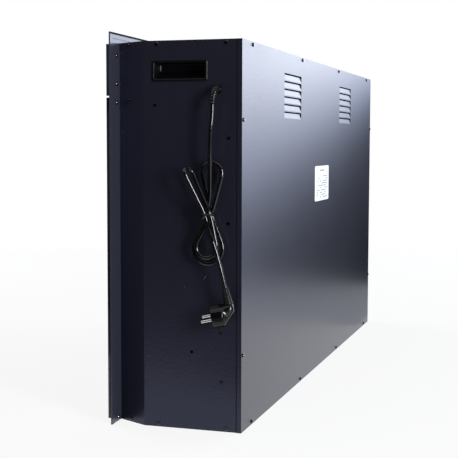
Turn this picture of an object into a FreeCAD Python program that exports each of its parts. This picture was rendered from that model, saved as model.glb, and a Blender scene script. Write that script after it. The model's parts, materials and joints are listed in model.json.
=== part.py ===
"""Electric fireplace insert: a sheet steel casing with a mounting flange, heater, flame effect and lead.

Millimetres, +Z up, the front faces -Y, the mains lead hangs on the +X side. The origin is under the
middle of the object's box, lead left out. Depths are counted forwards from the rear panel's outer face.
"""
import FreeCAD, Part
import math
import os

V = FreeCAD.Vector

# Casing
casing_width = 1208.0
casing_height = 655.0
casing_depth = 229.0
sheet = 1.2
seam_gap = 0.2
taper_depth = 55.0
front_taper = 29.0
rear_lip = 8.0
edge_tab = 16.0
edge_flange = 14.0
sill_height = 28.0

# Front flange, with a hem along its outer edge
flange_reach = 13.0
flange_rise = 16.0
flange_band = 67.0
flange_top_band = 41.0
hem_width = 10.0

# Front pane, its tape and clips, and the fascia above it
tape_thickness = 0.8
tape_width = 12.0
glass_thickness = 4.0
glass_bottom = 11.3
glass_drop = 94.4
front_gap = 3.3
fascia_drop = 4.8
fascia_sheet = 1.0
fascia_tab = 45.0
clip_sheet = 0.8
clip_width = 18.0
clip_lip = 3.0

# Louvres pressed into the rear panel
louvre_offset = 258.0
louvre_width = 137.0
louvre_count = 6
louvre_drop = 38.8
louvre_pitch = 14.4
louvre_height = 12.2
louvre_slit = 2.4
louvre_depth = 2.4
louvre_cheek = 1.0

# Screws
head_radius = 3.5
head_height = 2.4
head_crown = 2.5
head_edge = 1.1
shank_radius = 1.7
shank_length = 8.0
screw_clearance = 0.1
recess_width = 0.9
recess_span = 3.6
recess_depth = 1.2
rear_screw_column = 180.0
rear_end_inset = 64.0
rear_screw_inset = 5.0
rear_edge_inset = 9.0
rear_edge_lift = 131.0
rear_edge_drop = 132.0
side_edge_depths = (27.0, 149.0)
side_edge_inset = 6.0
taper_screw_inset = 23.0
shelf_screw_depth = 152.0
shelf_screw_lift = 10.0
shelf_front_screw_lift = 19.0
flange_screw_inset = 29.0
fascia_screw_lifts = (21.1, 69.1)
clip_screw_inset = 7.5
clip_screw_drop = 4.3

# Fixing hole in each side panel
fixing_depth = 88.0
fixing_height = 133.0
fixing_radius = 2.6

# Recessed handle cups
cup_depth_place = 109.3
cup_drop = 50.3
cup_length = 98.0
cup_height = 36.5
cup_rim = 4.5
cup_rim_thickness = 1.8
cup_corner = 4.0
cup_wall = 2.0
cup_pocket = 29.0
cup_ramp = 12.5
cup_clearance = 0.25

# Rating label
label_width = 136.0
label_height = 75.0
label_thickness = 0.3
label_x = -7.0
label_z = 398.5
label_corner = 5.0

# Partition shelf under the heater compartment
shelf_drop = 117.0
shelf_flange = 24.0
shelf_back = 9.0

# Blower
blower_depth = 95.0
blower_rise = 57.8
wheel_radius = 30.0
wheel_inner = 24.0
wheel_start = 60.0
wheel_length = 270.0
wheel_disc = 1.2
wheel_hub = 6.0
blade_count = 28
blade_thickness = 0.8
blade_sweep = 22.0
housing_gap = 5.0
housing_sheet = 1.0
housing_end = 6.0
tongue_depth = 33.0
tongue_drop = 14.0
duct_height = 65.0
shaft_radius = 3.0
shaft_clearance = 0.03
press_clearance = 0.01
bearing_radius = 7.0
bearing_flange = 9.0
bearing_length = 8.0
bearing_flange_thickness = 2.0
cheek_hole = 12.0
motor_radius = 26.0
motor_length = 64.0
motor_boss = 10.0
motor_boss_length = 6.0
saddle_sheet = 2.0
saddle_width = 70.0

# Heating elements and cut-outs
heater_depth = 166.0
heater_thickness = 28.0
heater_frame = 6.0
heater_bars = 4
heater_bar_height = 7.0
heater_bar_setback = 3.0
cutout_radius = 9.0
cutout_height = 6.0
cutout_depth = 178.0

# Outlet slots in front of each duct
outlet_rows = 6
outlet_columns = 5
outlet_height = 5.0
outlet_margin = 5.5
outlet_bridge = 7.0

# Supply inside the casing
terminal_length = 50.0
terminal_width = 22.0
terminal_height = 24.0
terminal_setback = 122.0
terminal_poles = 3
pole_radius = 2.5
board_length = 110.0
board_width = 80.0
board_thickness = 1.6
board_depth = 100.0
boss_radius = 4.0
boss_height = 8.0
boss_inset = 7.0
# Blocks on the board: place from its corner along and across it, length, width, height
board_blocks = (
    (12.0, 14.0, 32.0, 32.0, 26.0), (50.0, 14.0, 16.0, 20.0, 16.0),
    (70.0, 14.0, 16.0, 20.0, 16.0), (76.0, 48.0, 22.0, 18.0, 10.0),
)
capacitor_place = (60.0, 56.0)
capacitor_radius = 8.0
capacitor_height = 22.0
inner_lead_run = 20.0

# Flame effect
spindle_depth = 62.0
spindle_height = 130.0
spindle_end = 31.0
bracket_rear = 22.0
bracket_foot = 25.0
bracket_front = 82.0
bracket_margin = 10.0
bracket_screw_inset = 12.6
bracket_screw_heights = (85.0, 168.0)
flag_count = 13
flag_margin = 60.0
flag_radius = 26.0
flag_width = 42.0
flag_thickness = 0.6
flag_hub = 5.0
flag_hub_length = 12.0
flag_turn = 25.0
gear_motor_radius = 24.0
gear_motor_thickness = 16.0
spindle_grip = 11.0
spindle_end_gap = 1.5
bush_radius = 6.0
bush_flange = 8.5
bush_length = 7.0
led_bar_width = 20.0
led_bar_height = 30.0
led_bar_margin = 32.0
led_strip_width = 16.0
led_count = 27
led_size = 5.0
led_height = 1.5
reflector_depth = 14.0
reflector_flange = 18.0
reflector_bottom = 195.0
reflector_gap = 13.0
reflector_screw_inset = 8.0
reflector_screw_drops = (32.0, 173.0)
screen_depth = 115.0
screen_thickness = 3.0
screen_overlap = 9.0
screen_foot = 21.0
screen_leg = 25.0
screen_bracket_lift = 16.0

# Firebox
liner_front_wall = 16.4
liner_wall = 17.0
ember_end_gap = 4.0
ember_wall = 3.0
ember_rear_height = 40.0
ember_crown_height = 46.0
ember_front_height = 20.0
ember_crown_start = 16.0
ember_crown_end = 82.0
rest_gap = 0.3

# Logs: setback from the screen, radius, how much thinner each is at five places, spans along X
log_back_setback = 30.0
log_front_setback = 75.0
log_back_radius = 23.0
log_front_radius = 16.0
log_cross_radius = 15.0
log_thinning = (4.0, 0.0, 2.0, 0.0, 5.0)
log_back_span = (-370.0, 345.0)
log_front_spans = ((-440.0, -95.0), (70.0, 430.0))
log_cross_spans = ((-290.0, -30.0), (320.0, 90.0))
log_cross_overhang = 48.0

# Controls in the fascia
bezel_drop = 48.0
bezel_length = 134.0
bezel_height = 40.0
bezel_lap = 3.0
bezel_face = 0.8
bezel_body = 9.0
bezel_clearance = 0.2
button_names = ("flame", "heat", "timer")
button_pitch = 24.0
button_start = -48.0
button_width = 16.0
button_height = 11.0
button_proud = 1.4
button_clearance = 0.3
button_collar = 1.2
button_collar_thickness = 1.2
button_travel = 1.2
rocker_offset = 42.0
rocker_width = 16.0
rocker_height = 22.0
rocker_proud = 1.2
rocker_pin_radius = 1.5
rocker_pin_length = 2.4
rocker_room = 1.2
rocker_pivot = 4.0
rocker_dip = 0.9
rocker_heel = 1.0
rocker_keel = 2.0
pin_clearance = 0.05
switch_size = 6.0
switch_height = 0.6

# Mains lead: exit, strain relief, hank, plug
cord_diameter = 7.2
gland_depth = 42.5
gland_drop = 82.0
gland_flange = 8.0
gland_flange_thickness = 2.5
gland_neck = 5.8
gland_nut = 9.0
gland_nut_thickness = 5.0
relief_bend = 26.0
relief_start_radius = 6.0
relief_end_radius = 4.5
relief_rib = 0.7
relief_ribs = 9

# Feed and tail: distance out from the side, forwards of the exit and below it
feed_route = (
    (28.5, 0.0, 26.0), (28.5, 0.0, 44.0), (29.0, 7.0, 72.0),
    (26.5, 8.3, 108.0), (21.5, 7.2, 144.0), (18.6, 7.0, 178.0),
)
tail_route = (
    (29.6, 7.0, 227.0), (32.4, -1.0, 245.0), (33.2, -8.7, 267.0),
    (31.8, -14.5, 288.0), (29.8, -19.0, 308.0), (28.4, -22.5, 325.0),
)

# Hank: loops hang below and stand above the waist, where every strand has a slot of its own
waist_drop = 205.0
waist_forward = 8.5
waist_slots = ((18.4, 13.0), (10.2, 8.0), (18.4, 4.0), (26.8, 4.0), (26.8, 13.0))
# Each loop: forward and drop of its centre, radius, way out at entry and exit, tilt, side of entry
hank_loops = (
    (10.5, 263.0, 26.0, 14.6, 12.0, 0.0, 1),
    (1.5, 136.5, 20.0, 10.4, 12.4, 0.0, 1),
    (11.5, 259.5, 18.0, 23.6, 24.0, 0.0, 1),
    (41.5, 136.5, 8.2, 28.4, 28.4, 43.0, -1),
)
tie_radius = 1.1
tie_clearance = 1.0
tie_tail = 13.0
tie_tail_radius = 1.4
tie_tail_way = (0.8, -0.3, -0.5)

# Angled plug
plug_radius = 19.2
plug_depth = 39.0
plug_boot_back = 31.0
plug_boot_length = 26.0
plug_boot_start = 18.0
plug_boot_radius = 7.4
plug_boot_end_radius = 4.9
plug_rib = 0.8
plug_ribs = 6
plug_turn = 10.0
plug_roll = 14.0
# Rings of the plug from its face backwards: share of its depth and of its radius, shift towards the lead
plug_rings = ((0.0, 1.0, 0.0), (0.3, 0.97, 0.0), (0.62, 0.78, 2.0), (0.88, 0.58, 4.0), (1.0, 0.42, 5.0))
pin_radius = 2.4
pin_tip = 1.1
pin_length = 19.0
pin_spacing = 19.0
earth_width = 6.0
earth_thickness = 1.0
earth_length = 14.0

# How far a cutting solid runs past what it cuts
overrun = 1.0

# Values worked out from the sizes above
side_x = casing_width / 2 - sheet - seam_gap
fold_depth = casing_depth - taper_depth
taper_screw_depth = casing_depth - taper_screw_inset
flange_x = casing_width / 2 + flange_reach
flange_z = casing_height + flange_rise
flange_inner = flange_x - flange_band
flange_face = casing_depth + sheet
glass_back = flange_face + tape_thickness
glass_face = glass_back + glass_thickness
glass_top = casing_height - glass_drop
fascia_bottom = glass_top + front_gap
fascia_top = casing_height - fascia_drop
flange_shank = sheet + tape_thickness - seam_gap
front_reach = glass_face + bezel_face + button_proud
rear_y = (front_reach - head_height) / 2
shelf_height = casing_height - shelf_drop
shelf_top = shelf_height + sheet
cup_z = casing_height - cup_drop
gland_height = casing_height - gland_drop
reflector_top = shelf_height - reflector_gap
blower_height = shelf_top + blower_rise
spindle_x = side_x - spindle_end
duct_floor = blower_height - wheel_radius - housing_gap
duct_roof = duct_floor + duct_height
housing_start = wheel_start - housing_end
housing_stop = wheel_start + wheel_length + housing_end
board_x = -(housing_stop + side_x) / 2
led_bar_length = 2 * (spindle_x - led_bar_margin)
bezel_x = (housing_stop + flange_inner) / 2
bezel_z = casing_height - bezel_drop
cord_radius = cord_diameter / 2


def depth(distance):
    """Y of a plane that lies this far forwards of the rear panel's outer face."""
    return rear_y - distance


def box(x0, x1, d0, d1, z0, z1):
    """Block between two X planes, two depths and two heights."""
    return Part.makeBox(x1 - x0, d1 - d0, z1 - z0, V(x0, depth(d1), z0))


def prism(points, sweep):
    """Polygon through points, swept along a vector."""
    return Part.Face(Part.makePolygon(list(points) + [points[0]])).extrude(sweep)


def plan_prism(points, z0, z1):
    """Polygon of (x, depth) points standing from z0 to z1."""
    return prism([V(x, depth(d), z0) for x, d in points], V(0, 0, z1 - z0))


def section_prism(points, x0, x1):
    """Polygon of (depth, z) points running from x0 to x1."""
    return prism([V(x0, depth(d), z) for d, z in points], V(x1 - x0, 0, 0))


def face_prism(points, d0, d1):
    """Polygon of (x, z) points reaching from depth d0 forwards to d1."""
    return prism([V(x, depth(d0), z) for x, z in points], V(0, d0 - d1, 0))


def offset_line(points, distance):
    """Line moved sideways by a distance, to the right of its travel in plan, with mitred corners."""
    moved = []
    for i, (x, d) in enumerate(points):
        normals = []
        for a, b in ((i - 1, i), (i, i + 1)):
            if a >= 0 and b < len(points):
                run_x = points[b][0] - points[a][0]
                run_d = points[b][1] - points[a][1]
                length = math.hypot(run_x, run_d)
                normals.append((-run_d / length, run_x / length))
        nx = sum(n[0] for n in normals) / len(normals)
        nd = sum(n[1] for n in normals) / len(normals)
        scale = distance / (nx * nx + nd * nd)
        moved.append((x + nx * scale, d + nd * scale))
    return moved


def folded(points, thickness):
    """Outline of a bent sheet whose outer face follows the points."""
    return list(points) + offset_line(points, thickness)[::-1]


def rod(start, direction, radius, length):
    """Cylinder from a start point."""
    return Part.makeCylinder(radius, length, start, direction)


def across(x, d, z, radius, length):
    """Cylinder along +X from a point."""
    return rod(V(x, depth(d), z), V(1, 0, 0), radius, length)


def mirrored(shape):
    """Twin on the other side of the middle plane."""
    return shape.mirror(V(0, 0, 0), V(1, 0, 0))


def both(shape):
    """A solid and its twin as one group."""
    return Part.makeCompound([shape, mirrored(shape)])


def obround(x, z, length, height, d0, d1):
    """Slot with round ends, cut from depth d0 to d1."""
    half = (length - height) / 2
    radius = height / 2
    low = [V(x + s * half, depth(d0), z - radius) for s in (-1, 1)]
    high = [V(x + s * half, depth(d0), z + radius) for s in (1, -1)]
    edges = [
        Part.LineSegment(low[0], low[1]).toShape(),
        Part.Arc(low[1], V(x + half + radius, depth(d0), z), high[0]).toShape(),
        Part.LineSegment(high[0], high[1]).toShape(),
        Part.Arc(high[1], V(x - half - radius, depth(d0), z), low[0]).toShape(),
    ]
    return Part.Face(Part.Wire(edges)).extrude(V(0, d0 - d1, 0))


def side_line():
    """Outer face of the right side panel in plan, from its rear tab to its front tab."""
    back = sheet + seam_gap
    front_x = side_x - front_taper
    return [
        (side_x - edge_tab, back), (side_x, back), (side_x, fold_depth),
        (front_x, casing_depth), (front_x - edge_tab, casing_depth),
    ]


def taper_point(d):
    """Point and outward direction on the leaning front part of the right side panel."""
    share = (d - fold_depth) / (casing_depth - fold_depth)
    run = casing_depth - fold_depth
    length = math.hypot(front_taper, run)
    return side_x - front_taper * share, V(run / length, -front_taper / length, 0)


def screw(place, outward, length):
    """Pan head screw with a cross recess, its head resting on a face at place."""
    outline = [
        V(0, 0, head_height), V(head_crown, 0, head_height), V(head_radius, 0, head_edge),
        V(head_radius, 0, 0), V(shank_radius, 0, 0), V(shank_radius, 0, -length), V(0, 0, -length),
    ]
    solid = Part.Face(Part.makePolygon(outline + [outline[0]])).revolve(V(0, 0, 0), V(0, 0, 1), 360)
    floor = head_height - recess_depth
    cross = [
        Part.makeBox(a, b, recess_depth * 2, V(-a / 2, -b / 2, floor))
        for a, b in ((recess_span, recess_width), (recess_width, recess_span))
    ]
    solid = solid.cut(cross)
    solid.Placement = FreeCAD.Placement(place, FreeCAD.Rotation(V(0, 0, 1), outward))
    return solid


def screw_hole(place, outward):
    """Clearance hole for one screw, through every sheet behind its head."""
    start = place + outward * head_height
    return rod(start, outward * -1, shank_radius + screw_clearance, head_height + shank_length + seam_gap)


def rear_screw_seats():
    """Places and directions of the screws in the rear panel."""
    seats = []
    for column in (rear_screw_column, casing_width / 2 - rear_end_inset):
        for s in (-1, 1):
            for z in (rear_screw_inset, casing_height - rear_screw_inset):
                seats.append((V(s * column, depth(0), z), V(0, 1, 0)))
    for z in (rear_edge_lift, casing_height - rear_edge_drop):
        for s in (-1, 1):
            seats.append((V(s * (casing_width / 2 - rear_edge_inset), depth(0), z), V(0, 1, 0)))
    return seats


def side_screw_seats():
    """Places and directions of the screws in the right side panel."""
    flat = [(d, z) for d in side_edge_depths for z in (side_edge_inset, casing_height - side_edge_inset)]
    flat.append((shelf_screw_depth, shelf_height + shelf_screw_lift))
    flat += [(bracket_rear + bracket_screw_inset, z) for z in bracket_screw_heights]
    flat += [(reflector_depth + reflector_screw_inset, reflector_top - drop)
             for drop in reflector_screw_drops]
    seats = [(V(side_x, depth(d), z), V(1, 0, 0)) for d, z in flat]
    x, outward = taper_point(taper_screw_depth)
    for z in (side_edge_inset, shelf_height + shelf_front_screw_lift, casing_height - side_edge_inset):
        seats.append((V(x, depth(taper_screw_depth), z), outward))
    return seats


def flange_screw_seats():
    """Places of the screws through the flange on the right: fascia, top clip and bottom clip."""
    x = flange_x - flange_screw_inset
    heights = [fascia_bottom + lift for lift in fascia_screw_lifts]
    heights += [glass_top - clip_screw_inset, glass_bottom - clip_screw_drop]
    return [(V(x, depth(casing_depth), z), V(0, 1, 0)) for z in heights]


def twin_seats(seats):
    """The same screw seats on the other side of the middle plane."""
    return [(V(-p.x, p.y, p.z), V(-o.x, o.y, o.z)) for p, o in seats]


def drilled(shape, seats):
    """Shape with the holes for these screws."""
    return shape.cut([screw_hole(place, outward) for place, outward in seats])


def screw_group(seats, length):
    """The screws of these seats as one group."""
    return Part.makeCompound([screw(place, outward, length) for place, outward in seats])


def rear_panel():
    """Pan with side lips and pressed louvres: each has a ramp that sinks inwards under a slit."""
    half = casing_width / 2
    plate = box(-half, half, 0, sheet, 0, casing_height)
    pieces = [box(-half, -half + sheet, 0, rear_lip, 0, casing_height)]
    pieces.append(box(half - sheet, half, 0, rear_lip, 0, casing_height))
    windows = []
    inner = louvre_depth + sheet
    for middle in (-louvre_offset, louvre_offset):
        x0 = middle - louvre_width / 2
        x1 = middle + louvre_width / 2
        for i in range(louvre_count):
            top = casing_height - louvre_drop - i * louvre_pitch
            low = top - louvre_height
            brow = top - louvre_slit
            windows.append(box(x0, x1, 0, sheet, low, top))
            ramp = [(0, low), (louvre_depth, brow), (inner, brow), (sheet, low)]
            pieces.append(section_prism(ramp, x0, x1))
            cheek = [(0, low), (sheet, low), (inner, brow), (inner, top), (0, top)]
            pieces.append(section_prism(cheek, x0, x0 + louvre_cheek))
            pieces.append(section_prism(cheek, x1 - louvre_cheek, x1))
    plate = plate.cut(windows).fuse(pieces).removeSplitter()
    return drilled(plate, rear_screw_seats())


def side_panel():
    """Right side: folded sheet with tabs at both ends, open for the handle cup and the fixing screw."""
    panel = plan_prism(folded(side_line(), sheet), 0, casing_height)
    length = cup_length / 2 - cup_rim + cup_wall + cup_clearance
    height = cup_height / 2 - cup_rim + cup_wall + cup_clearance
    opening = box(
        side_x - sheet * 2, side_x + sheet, cup_depth_place - length, cup_depth_place + length,
        cup_z - height, cup_z + height,
    )
    hole = across(side_x - sheet * 2, fixing_depth, fixing_height, fixing_radius, sheet * 3)
    rear_edge = [seat for seat in rear_screw_seats() if seat[0].x > side_x - edge_tab]
    return drilled(panel.cut([opening, hole]), side_screw_seats() + rear_edge)


def gland_hole():
    """Hole for the strain relief's neck in the right side panel."""
    return across(side_x - sheet * 2, gland_depth, gland_height, gland_neck + seam_gap, sheet * 3)


def closing_panel(outer_z, turn, front_height):
    """Top or bottom panel: a plate between the sides with flanges turned inwards on every edge."""
    inner = offset_line(side_line(), sheet + seam_gap)[1:4]
    twin = [(-x, d) for x, d in reversed(inner)]
    lows = sorted((outer_z, outer_z + turn * sheet))
    flange = sorted((outer_z, outer_z + turn * edge_flange))
    front = sorted((outer_z, outer_z + turn * front_height))
    wall = plan_prism(folded(inner, sheet), *flange)
    reach = side_x - edge_tab - seam_gap
    front_reach_x = side_x - front_taper - edge_tab - seam_gap
    back = sheet + seam_gap
    panel = plan_prism(inner + twin, *lows).fuse([
        wall, mirrored(wall),
        box(-reach, reach, back, back + sheet * 2 + seam_gap, *lows),
        box(-reach, reach, back, back + sheet, *flange),
        box(-front_reach_x, front_reach_x, casing_depth - sheet * 3, casing_depth, *lows),
        box(-front_reach_x, front_reach_x, casing_depth - sheet, casing_depth, *front),
    ]).removeSplitter()
    seats = rear_screw_seats() + side_screw_seats()
    return drilled(panel, seats + twin_seats(side_screw_seats()))


def partition_shelf():
    """Shelf that carries the heater, with end flanges against the sides and bosses for the board."""
    inner = offset_line(side_line(), sheet + seam_gap)[1:4]
    inner[0] = (inner[0][0], shelf_back)
    inner[2] = (inner[2][0] + seam_gap * front_taper / (casing_depth - fold_depth), inner[2][1] - seam_gap)
    twin = [(-x, d) for x, d in reversed(inner)]
    wall = plan_prism(folded(inner, sheet), shelf_height, shelf_height + shelf_flange)
    shelf = plan_prism(inner + twin, shelf_height, shelf_top)
    bosses = [rod(V(x, depth(d), shelf_height), V(0, 0, 1), boss_radius, sheet + boss_height)
              for x, d in board_corners()]
    shelf = shelf.fuse([wall, mirrored(wall)] + bosses).removeSplitter()
    return drilled(shelf, side_screw_seats() + twin_seats(side_screw_seats()))


def board_corners():
    """Places of the four bosses under the control board."""
    half_x = board_length / 2 - boss_inset
    half_d = board_width / 2 - boss_inset
    return [(board_x + s * half_x, board_depth + t * half_d) for s in (-1, 1) for t in (-1, 1)]


def flange_strip(outline, hem):
    """Flange strip with its hem folded onto the rear."""
    strip = face_prism(outline, casing_depth, flange_face)
    return strip.fuse(face_prism(hem, casing_depth - sheet, casing_depth))


def front_flange_side():
    """Right flange strip, mitred at the top."""
    inner_top = flange_z - flange_top_band
    hem_x = flange_x - hem_width
    outline = [(flange_inner, 0), (flange_x, 0), (flange_x, flange_z), (flange_inner, inner_top)]
    hem = [(hem_x, 0), (flange_x, 0), (flange_x, flange_z), (hem_x, flange_z - hem_width)]
    return drilled(flange_strip(outline, hem), flange_screw_seats())


def front_flange_top():
    """Top flange strip between the two mitres."""
    inner_top = flange_z - flange_top_band
    hem_x = flange_x - hem_width
    hem_z = flange_z - hem_width
    outline = [(-flange_x, flange_z), (flange_x, flange_z)]
    outline += [(flange_inner, inner_top), (-flange_inner, inner_top)]
    hem = [(-flange_x, flange_z), (flange_x, flange_z), (hem_x, hem_z), (-hem_x, hem_z)]
    return flange_strip(outline, hem)


def outlet_slots():
    """Rows of slots in front of each heater duct."""
    cell = (wheel_length - outlet_bridge) / outlet_columns
    row_pitch = (duct_height - 2 * outlet_margin - outlet_height) / (outlet_rows - 1)
    back = glass_face - fascia_sheet - overrun
    slots = []
    for s in (-1, 1):
        for column in range(outlet_columns):
            x = s * (wheel_start + outlet_bridge / 2 + cell * (column + 0.5))
            for row in range(outlet_rows):
                z = duct_floor + outlet_margin + outlet_height / 2 + row * row_pitch
                slots.append(obround(x, z, cell - outlet_bridge, outlet_height, back, glass_face))
    return slots


def fascia_panel():
    """Shallow pan over the heater: slots for the warm air, an opening for the controls, end tabs."""
    pan = box(-flange_x, flange_x, flange_face, glass_face, fascia_bottom, fascia_top)
    inside = flange_x - fascia_sheet
    low = fascia_bottom + fascia_sheet
    high = fascia_top - fascia_sheet
    back = glass_face - fascia_sheet
    pan = pan.cut(box(-inside, inside, flange_face, back, low, high))
    tab = box(inside - fascia_tab, inside, flange_face, flange_face + fascia_sheet, low, high)
    half_x = bezel_length / 2 - bezel_lap
    half_z = bezel_height / 2 - bezel_lap
    opening = box(bezel_x - half_x, bezel_x + half_x, back - overrun, glass_face,
                  bezel_z - half_z, bezel_z + half_z)
    pan = pan.fuse([tab, mirrored(tab)]).cut(outlet_slots() + [opening])
    return drilled(pan, flange_screw_seats() + twin_seats(flange_screw_seats()))


def front_glass():
    """Pane of tempered glass across the whole flange."""
    return box(-flange_x, flange_x, glass_back, glass_face, glass_bottom, glass_top)


def glass_tape():
    """Foam strips between pane and flange, clear of the clips."""
    middle = flange_inner + tape_width
    strip = box(flange_inner, middle, flange_face, glass_back, glass_bottom, glass_top)
    return both(strip)


def glass_clip(edge, turn):
    """Clip behind the pane that hooks over one of its edges, above or below by turn."""
    x = flange_x - flange_screw_inset
    x0, x1 = x - clip_width / 2, x + clip_width / 2
    foot_end = edge - turn * clip_screw_inset * 2 if turn > 0 else glass_bottom - clip_screw_drop * 2
    ledge = sorted((edge + turn * seam_gap, edge + turn * (seam_gap + clip_sheet)))
    foot = sorted((foot_end, ledge[0] if turn > 0 else ledge[1]))
    lip = sorted((edge - turn * clip_lip, ledge[1] if turn > 0 else ledge[0]))
    face = glass_face + seam_gap
    return box(x0, x1, flange_face, glass_back, *foot).fuse([
        box(x0, x1, flange_face, face + clip_sheet, *ledge),
        box(x0, x1, face, face + clip_sheet, *lip),
    ]).removeSplitter()


def glass_clips():
    """Four clips, two on each side."""
    pair = [glass_clip(glass_top, 1), glass_clip(glass_bottom, -1)]
    pair = [drilled(clip, flange_screw_seats()) for clip in pair]
    return Part.makeCompound(pair + [mirrored(clip) for clip in pair])


def handle_cup():
    """Moulded grip: a rim on the side panel and a pocket whose lower wall is a ramp for the fingers."""
    d0, z0 = cup_depth_place, cup_z
    half_d, half_z = cup_length / 2, cup_height / 2
    rim = box(side_x, side_x + cup_rim_thickness, d0 - half_d, d0 + half_d, z0 - half_z, z0 + half_z)
    corners = [e for e in rim.Edges if abs(e.tangentAt(e.FirstParameter).x) > 0.99]
    rim = rim.makeFillet(cup_corner, corners)
    mouth_d, mouth_z = half_d - cup_rim, half_z - cup_rim
    front = side_x + cup_rim_thickness
    back = side_x - cup_pocket
    shell_back = back - cup_wall

    def pocket(x_front, x_back, spread, ramp):
        low, high = z0 - mouth_z - spread, z0 + mouth_z + spread
        points = [(x_front, low), (x_front, high), (x_back, high), (x_back, low + ramp)]
        outline = [V(x, depth(d0 + mouth_d + spread), z) for x, z in points]
        return prism(outline, V(0, 2 * (mouth_d + spread), 0))

    shell = pocket(side_x, shell_back, cup_wall, cup_ramp)
    hollow = pocket(front, back, 0.0, cup_ramp)
    return rim.fuse(shell).cut(hollow).removeSplitter()


def rating_label():
    """Blank sticker with rounded corners."""
    label = box(
        label_x - label_width / 2, label_x + label_width / 2, -label_thickness, 0,
        label_z - label_height / 2, label_z + label_height / 2,
    )
    corners = [e for e in label.Edges if abs(e.tangentAt(e.FirstParameter).y) > 0.99]
    return label.makeFillet(label_corner, corners)


def blower_wheel():
    """Tangential wheel: swept blades between three discs on a hub."""
    x0, x1 = wheel_start, wheel_start + wheel_length
    discs = [across(x, blower_depth, blower_height, wheel_radius, wheel_disc)
             for x in (x0, (x0 + x1 - wheel_disc) / 2, x1 - wheel_disc)]
    hub = across(x0, blower_depth, blower_height, wheel_hub, wheel_length)
    blades = []
    for i in range(blade_count):
        turn = 2 * math.pi * i / blade_count
        sweep = math.radians(blade_sweep)
        inner = V(0, wheel_inner * math.cos(turn), wheel_inner * math.sin(turn))
        tip_radius = wheel_radius - blade_thickness
        outer = V(0, tip_radius * math.cos(turn + sweep), tip_radius * math.sin(turn + sweep))
        run = (outer - inner).normalize()
        half = V(0, -run.z, run.y) * (blade_thickness / 2)
        middle = V(x0, depth(blower_depth), blower_height)
        points = [middle + p for p in (inner - half, outer - half, outer + half, inner + half)]
        blades.append(prism(points, V(wheel_length, 0, 0)))
    bore = across(x0 - overrun, blower_depth, blower_height, shaft_radius + press_clearance,
                  wheel_length + 2 * overrun)
    return discs[0].fuse(discs[1:] + [hub] + blades).cut(bore)


def blower_shaft():
    """Shaft through the motor and both wheels."""
    end = housing_stop + bearing_length
    return across(-end, blower_depth, blower_height, shaft_radius, 2 * end)


def blower_motor():
    """Motor in the middle, its shaft coming out at both ends."""
    half = motor_length / 2
    can = across(-half, blower_depth, blower_height, motor_radius, motor_length)
    boss = across(-half - motor_boss_length, blower_depth, blower_height, motor_boss,
                  motor_length + 2 * motor_boss_length)
    bore = across(-half * 2, blower_depth, blower_height, shaft_radius + shaft_clearance, half * 4)
    return can.fuse(boss).removeSplitter().cut(bore)


def blower_bracket():
    """Saddle that stands on the shelf and holds the motor's lower half."""
    half = motor_length / 2 - motor_boss_length
    d0, d1 = blower_depth - saddle_width / 2, blower_depth + saddle_width / 2
    base = box(-half, half, d0, d1, shelf_top, shelf_top + saddle_sheet)
    ends = [box(x, x + saddle_sheet, d0, d1, shelf_top, blower_height)
            for x in (-half, half - saddle_sheet)]
    seat = across(-half - overrun, blower_depth, blower_height, motor_radius + seam_gap,
                  2 * (half + overrun))
    return base.fuse(ends).removeSplitter().cut(seat)


def housing_section():
    """Outline of the sheet that wraps the rear of the wheel and runs on as the duct's floor."""
    radius = wheel_radius + housing_gap
    stop = casing_depth - sheet * 2
    inner = [V(0, depth(blower_depth - radius), blower_height), V(0, depth(blower_depth), duct_floor)]
    outer_radius = radius + housing_sheet
    outer = [V(0, depth(blower_depth - outer_radius), blower_height),
             V(0, depth(blower_depth), duct_floor - housing_sheet)]
    slant = math.sqrt(0.5)
    bend = [V(0, depth(blower_depth - r * slant), blower_height - r * slant)
            for r in (radius, outer_radius)]
    end = [V(0, depth(stop), duct_floor), V(0, depth(stop), duct_floor - housing_sheet)]
    return Part.Face(Part.Wire([
        Part.Arc(inner[0], bend[0], inner[1]).toShape(),
        Part.LineSegment(inner[1], end[0]).toShape(),
        Part.LineSegment(end[0], end[1]).toShape(),
        Part.LineSegment(end[1], outer[1]).toShape(),
        Part.Arc(outer[1], bend[1], outer[0]).toShape(),
        Part.LineSegment(outer[0], inner[0]).toShape(),
    ]))


def blower_housing():
    """Right housing: curved rear wall and floor, roof with its tongue, and a cheek at each end."""
    width = housing_stop - housing_start
    wrap = housing_section().extrude(V(width, 0, 0))
    wrap.translate(V(housing_start, 0, 0))
    stop = casing_depth - sheet * 2
    tongue = blower_depth + tongue_depth
    roof = box(housing_start, housing_stop, tongue, stop, duct_roof, duct_roof + housing_sheet)
    lip = box(housing_start, housing_stop, tongue, tongue + housing_sheet,
              duct_roof - tongue_drop, duct_roof)
    rear = blower_depth - wheel_radius - housing_gap - housing_sheet
    cheeks = [box(x, x + housing_sheet, rear, stop, shelf_top, duct_roof + housing_sheet)
              for x in (housing_start, housing_stop - housing_sheet)]
    inner_hole = across(housing_start - overrun, blower_depth, blower_height, cheek_hole,
                        housing_sheet + 2 * overrun)
    seat = across(housing_stop - 2 * housing_sheet, blower_depth, blower_height, bearing_radius,
                  3 * housing_sheet)
    return wrap.fuse([roof, lip] + cheeks).removeSplitter().cut([inner_hole, seat])


def blower_bearings():
    """Flanged bush in each outer cheek."""
    sleeve = across(housing_stop - housing_sheet, blower_depth, blower_height, bearing_radius,
                    bearing_length)
    flange = across(housing_stop, blower_depth, blower_height, bearing_flange, bearing_flange_thickness)
    bore = across(housing_start, blower_depth, blower_height, shaft_radius + shaft_clearance, housing_stop)
    return both(sleeve.fuse(flange).removeSplitter().cut(bore))


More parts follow.
